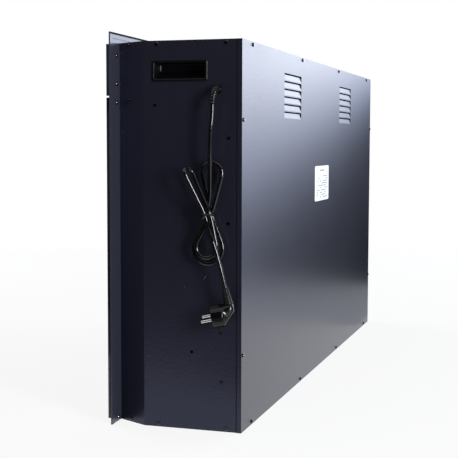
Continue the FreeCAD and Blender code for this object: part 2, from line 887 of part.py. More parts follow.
def heater_element():
    """Element across the right duct: end frames and finned bars."""
    x0, x1 = housing_start + housing_sheet, housing_stop - housing_sheet
    stop = heater_depth + heater_thickness
    pieces = [box(x, x + heater_frame, heater_depth, stop, duct_floor, duct_roof)
              for x in (x0, x1 - heater_frame)]
    pitch = (duct_height - heater_bar_height) / (heater_bars - 1)
    for i in range(heater_bars):
        z = duct_floor + i * pitch
        pieces.append(box(x0, x1, heater_depth + heater_bar_setback, stop - heater_bar_setback,
                          z, z + heater_bar_height))
    return pieces[0].fuse(pieces[1:]).removeSplitter()


def thermal_cutouts():
    """Disc cut-out on the roof of each duct."""
    x = wheel_start + wheel_length / 2
    seat = V(x, depth(cutout_depth), duct_roof + housing_sheet)
    return both(rod(seat, V(0, 0, 1), cutout_radius, cutout_height))


def terminal_block():
    """Terminal block on the shelf beside the lead's entry, with a screw well for each pole."""
    x1 = side_x - terminal_setback + terminal_length
    x0 = x1 - terminal_length
    block = box(x0, x1, gland_depth, gland_depth + terminal_width, shelf_top, shelf_top + terminal_height)
    pitch = terminal_length / terminal_poles
    middle = depth(gland_depth + terminal_width / 2)
    wells = [rod(V(x0 + pitch * (i + 0.5), middle, shelf_top + terminal_height / 2), V(0, 0, 1),
                 pole_radius, terminal_height) for i in range(terminal_poles)]
    return block.cut(wells)


def control_board():
    """Board on its bosses, with transformer, relays, capacitor and connectors."""
    low = shelf_top + boss_height
    top = low + board_thickness
    x0, x1 = board_x - board_length / 2, board_x + board_length / 2
    d0, d1 = board_depth - board_width / 2, board_depth + board_width / 2
    board = box(x0, x1, d0, d1, low, top)
    parts = [box(x0 + along, x0 + along + length, d0 + aside, d0 + aside + width, top, top + height)
             for along, aside, length, width, height in board_blocks]
    along, aside = capacitor_place
    parts.append(rod(V(x0 + along, depth(d0 + aside), top), V(0, 0, 1), capacitor_radius, capacitor_height))
    return board.fuse(parts).removeSplitter()


def spindle_bracket():
    """Bent bracket on the right side panel, whose end plate carries the flame spindle."""
    foot_x = side_x - sheet - seam_gap
    z0 = bracket_screw_heights[0] - bracket_margin
    z1 = bracket_screw_heights[1] + bracket_margin
    line = [(foot_x, bracket_rear + bracket_foot), (foot_x, bracket_rear),
            (spindle_x, bracket_rear), (spindle_x, bracket_front)]
    bracket = plan_prism(folded(line[::-1], sheet), z0, z1)
    hole = across(spindle_x - sheet * 3, spindle_depth, spindle_height, bush_radius, sheet * 6)
    return drilled(bracket.cut(hole), side_screw_seats())


def spindle_rod():
    """Rod of the flame spindle, from the gear motor on the left to the bush on the right."""
    left = spindle_x + sheet + spindle_grip
    return across(-left, spindle_depth, spindle_height, shaft_radius, left + spindle_x + bush_length)


def spindle_flags():
    """Sets of three reflecting flags on hubs, each set turned a little further than the last."""
    span = 2 * (spindle_x - flag_margin)
    flags = []
    for i in range(flag_count):
        x = -span / 2 + span * i / (flag_count - 1)
        hub = across(x - flag_hub_length / 2, spindle_depth, spindle_height, flag_hub, flag_hub_length)
        blades = []
        for j in range(3):
            corner = V(x - flag_width / 2, depth(spindle_depth) - flag_thickness / 2, spindle_height)
            blade = Part.makeBox(flag_width, flag_thickness, flag_radius, corner)
            blade.rotate(V(x, depth(spindle_depth), spindle_height), V(1, 0, 0), 120 * j + flag_turn * i)
            blades.append(blade)
        bore = across(x - flag_width, spindle_depth, spindle_height, shaft_radius + press_clearance,
                      flag_width * 2)
        flags.append(hub.fuse(blades).cut(bore))
    return Part.makeCompound(flags)


def gear_motor():
    """Flat gear motor on the outside of the left bracket, with a boss through the bracket's hole."""
    x1 = -spindle_x - sheet
    can = across(x1 - gear_motor_thickness, spindle_depth, spindle_height, gear_motor_radius,
                 gear_motor_thickness)
    boss = across(x1 - gear_motor_thickness, spindle_depth, spindle_height, bush_radius - seam_gap,
                  gear_motor_thickness + 3 * sheet)
    bore = across(x1 - spindle_grip - spindle_end_gap, spindle_depth, spindle_height,
                  shaft_radius + shaft_clearance, gear_motor_thickness * 2)
    return can.fuse(boss).removeSplitter().cut(bore)


def spindle_bush():
    """Flanged bush in the right bracket."""
    sleeve = across(spindle_x - sheet, spindle_depth, spindle_height, bush_radius - press_clearance,
                    bush_length)
    flange = across(spindle_x - sheet, spindle_depth, spindle_height, bush_flange, sheet)
    bore = across(spindle_x - bush_length, spindle_depth, spindle_height,
                  shaft_radius + shaft_clearance, bush_length * 3)
    return sleeve.fuse(flange).removeSplitter().cut(bore)


def led_bar():
    """Bar on the bottom panel under the spindle."""
    half = led_bar_width / 2
    return box(-led_bar_length / 2, led_bar_length / 2, spindle_depth - half, spindle_depth + half,
               sheet, sheet + led_bar_height)


def led_strip():
    """Strip of light emitters along the top of the bar."""
    half = led_strip_width / 2
    low = sheet + led_bar_height
    top = low + board_thickness
    strip = box(-led_bar_length / 2, led_bar_length / 2, spindle_depth - half, spindle_depth + half,
                low, top)
    pitch = led_bar_length / led_count
    leds = []
    for i in range(led_count):
        x = -led_bar_length / 2 + pitch * (i + 0.5)
        leds.append(box(x - led_size / 2, x + led_size / 2, spindle_depth - led_size / 2,
                        spindle_depth + led_size / 2, top, top + led_height))
    return strip.fuse(leds)


def flame_reflector():
    """Bright sheet behind the flames, its end flanges screwed to the sides."""
    end = side_x - sheet - seam_gap
    line = [(-end, reflector_depth + reflector_flange), (-end, reflector_depth),
            (end, reflector_depth), (end, reflector_depth + reflector_flange)]
    reflector = plan_prism(folded(line, sheet), reflector_bottom, reflector_top)
    return drilled(reflector, side_screw_seats() + twin_seats(side_screw_seats()))


def flame_screen():
    """Frosted pane that shows the flames."""
    half = side_x - sheet - seam_gap - screen_overlap
    return box(-half, half, screen_depth, screen_depth + screen_thickness, sheet, shelf_height - rest_gap)


def screen_brackets():
    """Angle behind each end of the screen, fixed to the side panel."""
    x = side_x - sheet - seam_gap
    line = [(x - screen_leg, screen_depth), (x, screen_depth), (x, screen_depth - screen_foot)]
    return both(plan_prism(folded(line[::-1], sheet), screen_bracket_lift, shelf_height - rest_gap))


def liner_outline():
    """Points (x, depth) of the right liner: clear of the screw tips outside, straight inside."""
    d0 = screen_depth + screen_thickness
    d1 = casing_depth - sheet - seam_gap
    outer = offset_line(side_line(), shank_length + rest_gap)[1:4]
    share = (d1 - outer[1][1]) / (outer[2][1] - outer[1][1])
    front_x = outer[1][0] + (outer[2][0] - outer[1][0]) * share
    return [(outer[0][0], d0), outer[1], (front_x, d1),
            (front_x - liner_front_wall, d1), (outer[0][0] - liner_wall, d0)]


def firebox_liners():
    """Moulded wall on each side of the firebox, from the screen to the flange."""
    return both(plan_prism(liner_outline(), sheet, shelf_height - rest_gap))


def ember_section():
    """Points (depth, z) of the ember bed's outline."""
    d0 = screen_depth + screen_thickness + rest_gap
    d1 = casing_depth - sheet * 2 - seam_gap
    return [(d0, sheet), (d1, sheet), (d1, ember_front_height), (d0 + ember_crown_end, ember_rear_height),
            (d0 + ember_crown_start, ember_crown_height), (d0, ember_rear_height)]


def ember_bed():
    """Moulded bed of embers in front of the screen, open underneath."""
    half = liner_outline()[3][0] - ember_end_gap
    skin = ember_section()[1:] + ember_section()[:1]
    shell = section_prism(folded(skin, ember_wall), -half, half)
    ends = [section_prism(ember_section(), x, x + ember_wall) for x in (-half, half - ember_wall)]
    return shell.fuse(ends).removeSplitter()


def resting_height(d, radius):
    """Height of a log's axis over the bed's gently sloping crown at a depth."""
    low, high = ember_section()[3], ember_section()[4]
    slope = (low[1] - high[1]) / (low[0] - high[0])
    return high[1] + (d - high[0]) * slope + radius * math.hypot(1, slope) + rest_gap


def log(start, end, radius):
    """Log with a swelling trunk between two ends."""
    run = end - start
    axis = V(run).normalize()
    last = len(log_thinning) - 1
    wires = [Part.Wire(Part.Circle(start + run * (i / last), axis, radius - less).toShape())
             for i, less in enumerate(log_thinning)]
    return Part.makeLoft(wires, True, True)


def crossing_heights(back_d, back_z, front_d, front_z):
    """Heights at which a log that lies across the back and front logs clears both by the rest gap."""
    slope = 1.0
    for _ in range(8):
        front = front_z + (log_front_radius + log_cross_radius + rest_gap) * slope
        back = back_z + (log_back_radius + log_cross_radius + rest_gap) * slope
        slope = math.hypot(1, (back - front) / (front_d - back_d))
    return front, back


def settled(piece, under):
    """Piece lowered until it rests on what lies under it."""
    for _ in range(4):
        gap = piece.distToShape(under)[0]
        piece.translate(V(0, 0, rest_gap - gap))
    return piece


def log_set():
    """Back log, two front logs on the bed, and two logs that lie across them."""
    back_d = screen_depth + screen_thickness + log_back_setback
    front_d = screen_depth + screen_thickness + log_front_setback
    back_z = resting_height(back_d, log_back_radius)
    front_z = resting_height(front_d, log_front_radius)
    x0, x1 = log_back_span
    logs = [log(V(x0, depth(back_d), back_z), V(x1, depth(back_d), back_z), log_back_radius)]
    for x0, x1 in log_front_spans:
        logs.append(log(V(x0, depth(front_d), front_z), V(x1, depth(front_d), front_z), log_front_radius))
    under = Part.makeCompound(logs)
    cross_front, cross_back = crossing_heights(back_d, back_z, front_d, front_z)
    for x_front, x_back in log_cross_spans:
        front = V(x_front, depth(front_d), cross_front)
        back = V(x_back, depth(back_d), cross_back)
        over = (back - front).normalize() * log_cross_overhang
        logs.append(settled(log(front - over, back + over, log_cross_radius), under))
    return Part.makeCompound(logs)


def button_place(index):
    """X of one push button."""
    return bezel_x + button_start + index * button_pitch


def control_bezel():
    """Moulded bezel through the fascia, with a guide for each button and a well for the rocker."""
    half_x = bezel_length / 2 - bezel_lap - bezel_clearance
    half_z = bezel_height / 2 - bezel_lap - bezel_clearance
    back = glass_face - bezel_body
    body = box(bezel_x - half_x, bezel_x + half_x, back, glass_face, bezel_z - half_z, bezel_z + half_z)
    plate = box(bezel_x - bezel_length / 2, bezel_x + bezel_length / 2, glass_face, glass_face + bezel_face,
                bezel_z - bezel_height / 2, bezel_z + bezel_height / 2)
    front = glass_face + bezel_face
    cuts = []
    for i in range(len(button_names)):
        x = button_place(i)
        for grow, stop in ((0.0, front), (button_collar, front - 2 * button_collar_thickness)):
            reach_x = button_width / 2 + button_clearance + grow
            reach_z = button_height / 2 + button_clearance + grow
            cuts.append(box(x - reach_x, x + reach_x, back, stop, bezel_z - reach_z, bezel_z + reach_z))
    x = bezel_x + rocker_offset
    reach_x = rocker_width / 2 + button_clearance
    reach_z = rocker_height / 2 + rocker_room
    cuts.append(box(x - reach_x, x + reach_x, back, front, bezel_z - reach_z, bezel_z + reach_z))
    pin = rocker_width / 2 + rocker_pin_length
    cuts.append(across(x - pin - pin_clearance, rocker_axis_depth(), bezel_z,
                       rocker_pin_radius + pin_clearance, 2 * (pin + pin_clearance)))
    return body.fuse(plate).removeSplitter().cut(cuts)


def push_button(index):
    """Button cap with a collar that stops it behind the bezel's face."""
    x = button_place(index)
    front = glass_face + bezel_face
    back = glass_face - bezel_body + button_travel * 2
    cap = box(x - button_width / 2, x + button_width / 2, back, front + button_proud,
              bezel_z - button_height / 2, bezel_z + button_height / 2)
    reach_x = button_width / 2 + button_collar - button_clearance
    reach_z = button_height / 2 + button_collar - button_clearance
    seat = front - 2 * button_collar_thickness - button_clearance
    collar = box(x - reach_x, x + reach_x, seat - button_collar_thickness, seat,
                 bezel_z - reach_z, bezel_z + reach_z)
    return cap.fuse(collar).removeSplitter()


def rocker_axis_depth():
    """Depth of the rocker's pivot."""
    return glass_face + bezel_face - rocker_pivot


def power_rocker():
    """Rocker with a shallow V front, on pins in the bezel."""
    x = bezel_x + rocker_offset
    front = glass_face + bezel_face + rocker_proud
    axis = rocker_axis_depth()
    half = rocker_height / 2
    low, high = bezel_z - half, bezel_z + half
    points = [(axis + rocker_heel, low), (front, low), (front - rocker_dip, bezel_z),
              (front, high), (axis + rocker_heel, high), (axis - rocker_keel, bezel_z)]
    cap = section_prism(points, x - rocker_width / 2, x + rocker_width / 2)
    reach = rocker_width / 2 + rocker_pin_length
    pin = across(x - reach, axis, bezel_z, rocker_pin_radius, 2 * reach)
    return cap.fuse(pin).removeSplitter()


def button_board():
    """Board against the back of the bezel, with a switch behind each button."""
    stop = glass_face - bezel_body
    half_x = bezel_length / 2 - bezel_lap - bezel_clearance
    half_z = bezel_height / 2 - bezel_lap - bezel_clearance
    board = box(bezel_x - half_x, bezel_x + half_x, stop - board_thickness, stop,
                bezel_z - half_z, bezel_z + half_z)
    half = switch_size / 2
    places = [button_place(i) for i in range(len(button_names))]
    switches = [box(x - half, x + half, stop, stop + switch_height, bezel_z - half, bezel_z + half)
                for x in places]
    return board.fuse(switches)


def lead_point(out, forward, drop):
    """Point of the lead, counted from its exit in the right side panel."""
    return V(side_x + out, depth(gland_depth + forward), gland_height - drop)


def strain_relief():
    """Gland in the side panel with a ribbed sleeve that bends down and tapers onto the lead."""
    exit_face = V(side_x, depth(gland_depth), gland_height)
    flange = rod(exit_face, V(1, 0, 0), gland_flange, gland_flange_thickness)
    inner_face = side_x - sheet
    neck = across(inner_face - seam_gap - gland_nut_thickness, gland_depth, gland_height, gland_neck,
                  sheet + 2 * seam_gap + gland_nut_thickness)
    nut = across(inner_face - seam_gap - gland_nut_thickness, gland_depth, gland_height, gland_nut,
                 gland_nut_thickness)
    middle = exit_face + V(gland_flange_thickness, 0, -relief_bend)
    wires = []
    steps = 4 * relief_ribs
    for i in range(steps + 1):
        turn = math.pi / 2 * i / steps
        spot = middle + V(math.sin(turn), 0, math.cos(turn)) * relief_bend
        way = V(math.cos(turn), 0, -math.sin(turn))
        radius = relief_start_radius + (relief_end_radius - relief_start_radius) * i / steps
        if i % 4 in (1, 2):
            radius += relief_rib
        wires.append(Part.Wire(Part.Circle(spot, way, radius).toShape()))
    sleeve = Part.makeLoft(wires, True, True)
    return flange.fuse([neck, nut, sleeve])


def arc_through(start, corner, end):
    """Arc from start to end whose tangents meet at a corner equally far from both, or a line if flat."""
    reach = (corner - start).Length
    bisector = (start + end) * 0.5 - corner
    if bisector.Length < 1e-4 * reach:
        return Part.LineSegment(start, end).toShape()
    half_chord = (end - start).Length / 2
    radius = reach * half_chord / bisector.Length
    to_centre = math.hypot(reach, radius)
    middle = corner + V(bisector).normalize() * (to_centre - radius)
    return Part.Arc(start, middle, end).toShape()


def tube(edges):
    """Round tube along edges that follow on smoothly; prints how its volume compares with its path."""
    wire = Part.Wire(edges)
    first = edges[0]
    start = first.valueAt(first.FirstParameter)
    way = first.tangentAt(first.FirstParameter)
    section = Part.Wire(Part.Circle(start, way, cord_radius).toShape())
    solid = wire.makePipeShell([section], True, False)
    ideal = math.pi * cord_radius ** 2 * wire.Length
    print("tube length %.1f, volume ratio %.4f" % (wire.Length, solid.Volume / ideal))
    return solid


def routed(points, name):
    """Path of straight runs joined by tangent arcs as large as the runs allow; prints the radii."""
    edges = []
    radii = []
    last = points[0]
    for i in range(1, len(points) - 1):
        before = points[i - 1] - points[i]
        after = points[i + 1] - points[i]
        reach = 0.45 * min(before.Length, after.Length)
        turn = math.pi - before.getAngle(after)
        radii.append(reach / math.tan(turn / 2))
        start = points[i] + V(before).normalize() * reach
        end = points[i] + V(after).normalize() * reach
        edges.append(Part.LineSegment(last, start).toShape())
        edges.append(arc_through(start, points[i], end))
        last = end
    edges.append(Part.LineSegment(last, points[-1]).toShape())
    print(name, "radii", " ".join("%.0f" % r for r in radii))
    return edges


def biarc(start, start_way, end, end_way):
    """Two arcs that join two points and keep the direction given at each."""
    span = end - start
    total = start_way + end_way
    spread = 2 * (1 - start_way.dot(end_way))
    along = span.dot(total)
    if spread < 1e-9:
        reach = span.dot(span) / (4 * span.dot(end_way))
    else:
        reach = (math.sqrt(along * along + spread * span.dot(span)) - along) / spread
    first = start + start_way * reach
    second = end - end_way * reach
    middle = (first + second) * 0.5
    return [arc_through(start, first, middle), arc_through(middle, second, end)]


def loop_keys(forward, drop, radius, out_in, out_out, tilt, side):
    """Points and directions round one loop, leaning away from the waist on a circle tilted outwards."""
    axis = V(0, waist_forward - forward, waist_drop - drop)
    wrap = math.pi / 2 + math.asin((radius - cord_radius) / axis.Length)
    axis.normalize()
    edge = V(0, -abs(axis.z), abs(axis.z) / axis.z * axis.y)
    lean = math.radians(tilt)
    sweep = edge * math.cos(lean) + V(math.sin(lean), 0, 0)
    keys = []
    for share in (1.0, 0.5, 0.0, -0.5, -1.0):
        turn = wrap * share
        out = out_out + (out_in - out_out) * (share + 1) / 2
        centre = lead_point(out, forward, drop)
        spot = centre + (axis * math.cos(turn) + sweep * (side * math.sin(turn))) * radius
        climb = V((out_out - out_in) / (2 * wrap * radius), 0, 0)
        way = axis * math.sin(turn) - sweep * (side * math.cos(turn)) + climb
        keys.append((spot, way.normalize()))
    return keys


def hank_path():
    """Edges of the hank: every loop in turn, with each strand passing the waist in its own slot."""
    before = lead_point(*feed_route[-2])
    start = lead_point(*feed_route[-1])
    way = (start - before).normalize()
    end = lead_point(*tail_route[0])
    end_way = (lead_point(*tail_route[1]) - end).normalize()
    first = start + way * cord_diameter
    last = end - end_way * cord_diameter
    loops = [loop_keys(*values) for values in hank_loops]
    keys = [(first, way)]
    for i, (out, forward) in enumerate(waist_slots):
        slot = lead_point(out, forward, waist_drop)
        arrive = loops[i - 1][-1][0] if i else first
        leave = loops[i][0][0] if i < len(loops) else last
        keys.append((slot, (leave - arrive).normalize()))
        keys += loops[i] if i < len(loops) else [(last, end_way)]
    edges = [Part.LineSegment(start, first).toShape()]
    for (a, way_a), (b, way_b) in zip(keys, keys[1:]):
        edges += biarc(a, way_a, b, way_b)
    edges.append(Part.LineSegment(last, end).toShape())
    return edges


def self_gap(edges):
    """Least gap between strands of one path, measured on points along it."""
    step = 2.0
    spots = Part.Wire(edges).discretize(Distance=step)
    skip = int(3 * cord_diameter / step)
    least = min((a - b).Length for i, a in enumerate(spots) for b in spots[i + skip:])
    return least - cord_diameter


def cord_hank():
    """One unbroken tube with all the loops; prints its tightest bend and its least gap to itself."""
    edges = hank_path()
    radii = [e.Curve.Radius for e in edges if hasattr(e.Curve, "Radius")]
    print("hank tightest bend %.1f, least gap %.2f" % (min(radii), self_gap(edges)))
    return tube(edges)


def cord_tie():
    """Wire tie round the waist of the hank, with its twisted end."""
    outs = [out for out, forward in waist_slots]
    forwards = [forward for out, forward in waist_slots]
    grow = cord_radius + tie_clearance + tie_radius
    low, high = min(outs), max(outs)
    near, far = min(forwards), max(forwards)
    corners = ((low, near, 180, 270), (high, near, 270, 360), (high, far, 0, 90), (low, far, 90, 180))
    edges = []
    spots = []
    for out, forward, a0, a1 in corners:
        turns = [math.radians(a) for a in (a0, (a0 + a1) / 2, a1)]
        spots.append([lead_point(out + grow * math.cos(t), forward + grow * math.sin(t), waist_drop)
                      for t in turns])
    for arc, following in zip(spots, spots[1:] + spots[:1]):
        edges.append(Part.Arc(*arc).toShape())
        edges.append(Part.LineSegment(arc[2], following[0]).toShape())
    ring = Part.Wire(edges)
    way = edges[0].tangentAt(edges[0].FirstParameter)
    section = Part.Wire(Part.Circle(spots[0][0], way, tie_radius).toShape())
    band = ring.makePipeShell([section], True, False)
    root = lead_point(high + grow, (near + far) / 2, waist_drop)
    tail = rod(root, V(*tie_tail_way).normalize(), tie_tail_radius, tie_tail)
    return band.fuse(tail)


def plug_frame():
    """Face centre of the plug, its pin direction, its lead direction and the direction between pins."""
    end = lead_point(*tail_route[-1])
    up = (lead_point(*tail_route[-2]) - end).normalize()
    turn = math.radians(plug_turn)
    rough = V(math.sin(turn), -math.cos(turn), 0)
    pins = (rough - up * rough.dot(up)).normalize()
    face = end - up * (plug_boot_length + plug_boot_start) + pins * plug_boot_back
    roll = math.radians(plug_roll)
    return face, pins, up, up.cross(pins) * math.cos(roll) - up * math.sin(roll)


def plug_body():
    """Moulded plug: round front, narrowing back and a ribbed sleeve for the lead."""
    face, pins, up, _ = plug_frame()
    wires = []
    for back, size, shift in plug_rings:
        spot = face - pins * (back * plug_depth) + up * shift
        wires.append(Part.Wire(Part.Circle(spot, pins, plug_radius * size).toShape()))
    body = Part.makeLoft(wires, True, True)
    root = face - pins * plug_boot_back
    sections = [(0.0, plug_boot_radius)]
    steps = 4 * plug_ribs
    for i in range(steps + 1):
        radius = plug_boot_radius + (plug_boot_end_radius - plug_boot_radius) * i / steps
        if i % 4 in (1, 2):
            radius += plug_rib
        sections.append((plug_boot_start + plug_boot_length * i / steps, radius))
    wires = [Part.Wire(Part.Circle(root + up * height, up, radius).toShape())
             for height, radius in sections]
    boot = Part.makeLoft(wires, True, True)
    body = body.fuse(boot)
    notches = [earth_strip(s, seam_gap) for s in (-1, 1)]
    return body.cut(notches)


def earth_strip(side, grow):
    """Earth contact on the plug's rim, or the notch for it where it is grown."""
    face, pins, _, row = plug_frame()
    rim = pins.cross(row)
    reach = plug_radius - earth_thickness * 2
    strip = Part.makeBox(earth_width + 2 * grow, earth_length + 2 * grow, earth_thickness + 2 * grow,
                         V(-earth_width / 2 - grow, -grow, -grow))
    turned = FreeCAD.Matrix(row.x, -pins.x, rim.x * side, 0, row.y, -pins.y, rim.y * side, 0,
                            row.z, -pins.z, rim.z * side, 0, 0, 0, 0, 1)
    spot = face + rim * (side * reach)
    turned.A14, turned.A24, turned.A34 = spot.x, spot.y, spot.z
    return strip.transformGeometry(turned)


def plug_contacts():
    """Two round pins and the two earth strips."""
    face, pins, _, row = plug_frame()
    pair = [rod(face + row * (s * pin_spacing / 2), pins, pin_radius, pin_length) for s in (-1, 1)]
    pair = [p.makeFillet(pin_tip, [tip_edge(p, face + pins * pin_length, pins)]) for p in pair]
    return Part.makeCompound(pair + [earth_strip(s, 0.0) for s in (-1, 1)])


def tip_edge(pin, tip, way):
    """Round edge of a pin nearest its tip."""
    rounds = [e for e in pin.Edges if len(e.Vertexes) == 1]
    return min(rounds, key=lambda e: abs((e.CenterOfMass - tip).dot(way)))


def inner_lead():
    """Lead inside the casing, from the gland to the terminal block."""
    start_x = side_x - sheet - seam_gap - gland_nut_thickness
    block_x = side_x - terminal_setback + terminal_length
    block_d = gland_depth + terminal_width / 2
    block_z = shelf_top + terminal_height / 2
    points = [
        V(start_x, depth(gland_depth), gland_height),
        V(start_x - inner_lead_run, depth(gland_depth), gland_height),
        V(block_x + inner_lead_run, depth(block_d), block_z),
        V(block_x, depth(block_d), block_z),
    ]
    return tube(routed(points, "inner lead"))


def build():
    """Name and shape of every piece."""
    right_side = side_panel()
    side_seats = side_screw_seats() + twin_seats(side_screw_seats())
    flange_seats = flange_screw_seats() + twin_seats(flange_screw_seats())
    nodes = {
        "rear_panel": rear_panel(),
        "side_panel_right": right_side.cut(gland_hole()),
        "side_panel_left": mirrored(right_side),
        "top_panel": closing_panel(casing_height, -1, edge_flange),
        "bottom_panel": closing_panel(0.0, 1, sill_height),
        "partition_shelf": partition_shelf(),
        "front_flange_right": front_flange_side(),
        "front_flange_left": mirrored(front_flange_side()),
        "front_flange_top": front_flange_top(),
        "fascia_panel": fascia_panel(),
        "front_glass": front_glass(),
        "glass_tape": glass_tape(),
        "glass_clips": glass_clips(),
        "rear_panel_screws": screw_group(rear_screw_seats(), shank_length),
        "side_panel_screws": screw_group(side_seats, shank_length),
        "flange_screws": screw_group(flange_seats, flange_shank),
        "handle_cup_right": handle_cup(),
        "handle_cup_left": mirrored(handle_cup()),
        "rating_label": rating_label(),
        "blower_motor": blower_motor(),
        "blower_bracket": blower_bracket(),
        "blower_shaft": blower_shaft(),
        "blower_wheel_right": blower_wheel(),
        "blower_wheel_left": mirrored(blower_wheel()),
        "blower_housing_right": blower_housing(),
        "blower_housing_left": mirrored(blower_housing()),
        "blower_bearings": blower_bearings(),
        "heater_element_right": heater_element(),
        "heater_element_left": mirrored(heater_element()),
        "thermal_cutouts": thermal_cutouts(),
        "terminal_block": terminal_block(),
        "control_board": control_board(),
        "inner_lead": inner_lead(),
        "spindle_bracket_right": spindle_bracket(),
        "spindle_bracket_left": mirrored(spindle_bracket()),
        "spindle_rod": spindle_rod(),
        "spindle_flags": spindle_flags(),
        "spindle_motor": gear_motor(),
        "spindle_bush": spindle_bush(),
        "led_bar": led_bar(),
        "led_strip": led_strip(),
        "flame_reflector": flame_reflector(),
        "flame_screen": flame_screen(),
        "screen_brackets": screen_brackets(),
        "firebox_liners": firebox_liners(),
        "ember_bed": ember_bed(),
        "log_set": log_set(),
        "control_bezel": control_bezel(),
        "power_rocker": power_rocker(),
        "button_board": button_board(),
        "cord_strain_relief": strain_relief(),
        "power_cord_feed": tube(routed([lead_point(*p) for p in feed_route], "feed")),
        "power_cord_hank": cord_hank(),
        "power_cord_tail": tube(routed([lead_point(*p) for p in tail_route], "tail")),
        "cord_tie": cord_tie(),
        "plug_body": plug_body(),
        "plug_contacts": plug_contacts(),
    }
    for index, name in enumerate(button_names):
        nodes["button_" + name] = push_button(index)
    return nodes


os.makedirs("parts", exist_ok=True)
for node_name, shape in build().items():
    shape.exportStep("parts/%s.step" % node_name)
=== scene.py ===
"""Dresses the electric fireplace insert: finishes, mains lead, grips, hearth and a plain studio.

Everything is in metres in the frame of the solids: +Z up, the glass front faces -Y, the lead hangs on +X.
"""
import json
import math

import bpy
import numpy as np
from bpy.props import FloatProperty, FloatVectorProperty, IntProperty, PointerProperty
from mathutils import Matrix, Vector


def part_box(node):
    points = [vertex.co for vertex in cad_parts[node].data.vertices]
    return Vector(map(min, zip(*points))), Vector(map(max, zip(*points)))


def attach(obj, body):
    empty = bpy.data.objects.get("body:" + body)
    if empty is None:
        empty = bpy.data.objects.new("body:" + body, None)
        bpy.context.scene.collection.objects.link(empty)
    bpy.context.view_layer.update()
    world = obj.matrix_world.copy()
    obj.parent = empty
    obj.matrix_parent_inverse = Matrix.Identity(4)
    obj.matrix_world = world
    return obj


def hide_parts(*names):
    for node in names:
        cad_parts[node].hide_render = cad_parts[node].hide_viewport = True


bl_info = {
    "name": "Fireplace insert dresser",
    "version": (1, 0, 0),
    "blender": (4, 5, 0),
    "location": "3D View > Sidebar > Hearth",
    "description": "Finishes, mains lead, grips and hearth of an electric fireplace insert",
    "category": "Object",
}

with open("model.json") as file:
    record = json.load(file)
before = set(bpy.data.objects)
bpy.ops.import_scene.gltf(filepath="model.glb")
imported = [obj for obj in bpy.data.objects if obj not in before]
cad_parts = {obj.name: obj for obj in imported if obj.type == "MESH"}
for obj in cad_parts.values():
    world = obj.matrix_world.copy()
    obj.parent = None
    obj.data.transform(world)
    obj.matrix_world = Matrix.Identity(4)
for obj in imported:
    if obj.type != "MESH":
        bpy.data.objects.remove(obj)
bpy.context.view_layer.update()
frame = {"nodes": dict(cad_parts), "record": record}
BODY = "chassis"
MM = 0.001
FULL_TURN = 2 * math.pi
WHITE = (1.0, 1.0, 1.0, 1.0)
CARD_BLACK = (0.004, 0.004, 0.005, 1.0)
NO_TRIS = np.zeros((0, 3), int)
# Edges sharper than this stay sharp
CREASE = math.radians(38.0)

# Mains lead, in millimetres: distance out from the side panel, forwards of the exit and below it
SIDE_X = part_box("side_panel_right")[1][0] / MM
EXIT_Y = 74.9
EXIT_Z = 573.0
FEED = (
    (28.5, 0.0, 26.0), (28.5, 0.0, 44.0), (29.0, 3.9, 72.0),
    (26.5, 5.0, 108.0), (21.5, 6.4, 144.0), (18.6, 7.0, 178.0),
)
TAIL = (
    (29.6, 7.0, 227.0), (32.4, -1.0, 245.0), (33.2, -8.7, 267.0),
    (31.8, -14.5, 288.0), (29.8, -19.0, 308.0), (28.4, -22.5, 325.0),
)
WAIST_DROP = 205.0
WAIST_FORWARD = 8.5
WAIST_SLOTS = ((18.4, 13.0), (10.2, 8.0), (18.4, 4.0), (26.8, 4.0), (26.8, 13.0))
# Each loop: forward and drop of its centre, radius, way out at entry and exit, tilt, side of entry
LOOPS = (
    (12.2, 263.0, 26.0, 14.6, 12.0, 0.0, 1),
    (6.0, 138.0, 18.0, 10.4, 12.4, 0.0, 1),
    (11.5, 259.5, 18.0, 23.6, 24.0, 0.0, 1),
    (39.0, 138.6, 11.0, 32.0, 32.0, 75.0, -1),
)
LOOP_POINTS = 9
STRAND_SHARES = (0.15, 0.5)

# Strain relief, in millimetres: bend, base and ribs of its sleeve, steps and radii of its flange
RELIEF_BEND = 26.0
RELIEF_BASE = 2.5
RELIEF_RIBS = {"start": 6.0, "end": 4.4, "ribs": 9, "rise": 0.9}
RELIEF_STEPS = (-7.0, 0.0, 1.2, 2.1, 2.5, 2.5)
RELIEF_RADII = (5.6, 8.0, 8.0, 7.6, 6.6, 5.0)
RELIEF_ROWS, RELIEF_COLS, FLANGE_COLS = 109, 40, 48

# Plug, in millimetres: back from the face, half width, half height, shift towards the lead, squareness
PLUG_RINGS = (
    (0.0, 14.0, 14.0, 0.0, 2.0), (0.0, 18.3, 18.3, 0.0, 2.0), (0.3, 18.8, 18.8, 0.0, 2.0),
    (1.0, 19.2, 19.2, 0.0, 2.0), (7.5, 19.2, 19.2, 0.0, 2.0), (14.2, 19.2, 19.2, 0.0, 2.0),
    (14.5, 19.2, 19.2, 0.0, 2.0), (18.5, 19.2, 19.2, 0.0, 2.0), (19.7, 18.9, 18.9, 0.0, 2.0),
    (20.4, 18.0, 18.2, 0.3, 2.1), (22.5, 15.8, 16.0, 2.0, 2.4), (26.0, 14.2, 13.6, 4.2, 2.7),
    (30.0, 12.8, 11.2, 6.4, 3.0), (34.0, 11.4, 9.2, 8.4, 3.0), (36.6, 9.8, 7.8, 9.4, 2.8),
    (38.2, 7.4, 6.0, 10.0, 2.5), (38.9, 4.0, 3.4, 10.2, 2.2),
)
PLUG_SWING = math.radians(10.0)
PLUG_ROLL = math.radians(14.0)
# Face of the plug ahead of its sleeve's axis, top and foot of the sleeve above the plug's axis
PLUG_AHEAD = 31.0
SLEEVE_TOP = 44.0
SLEEVE_FOOT = 9.0
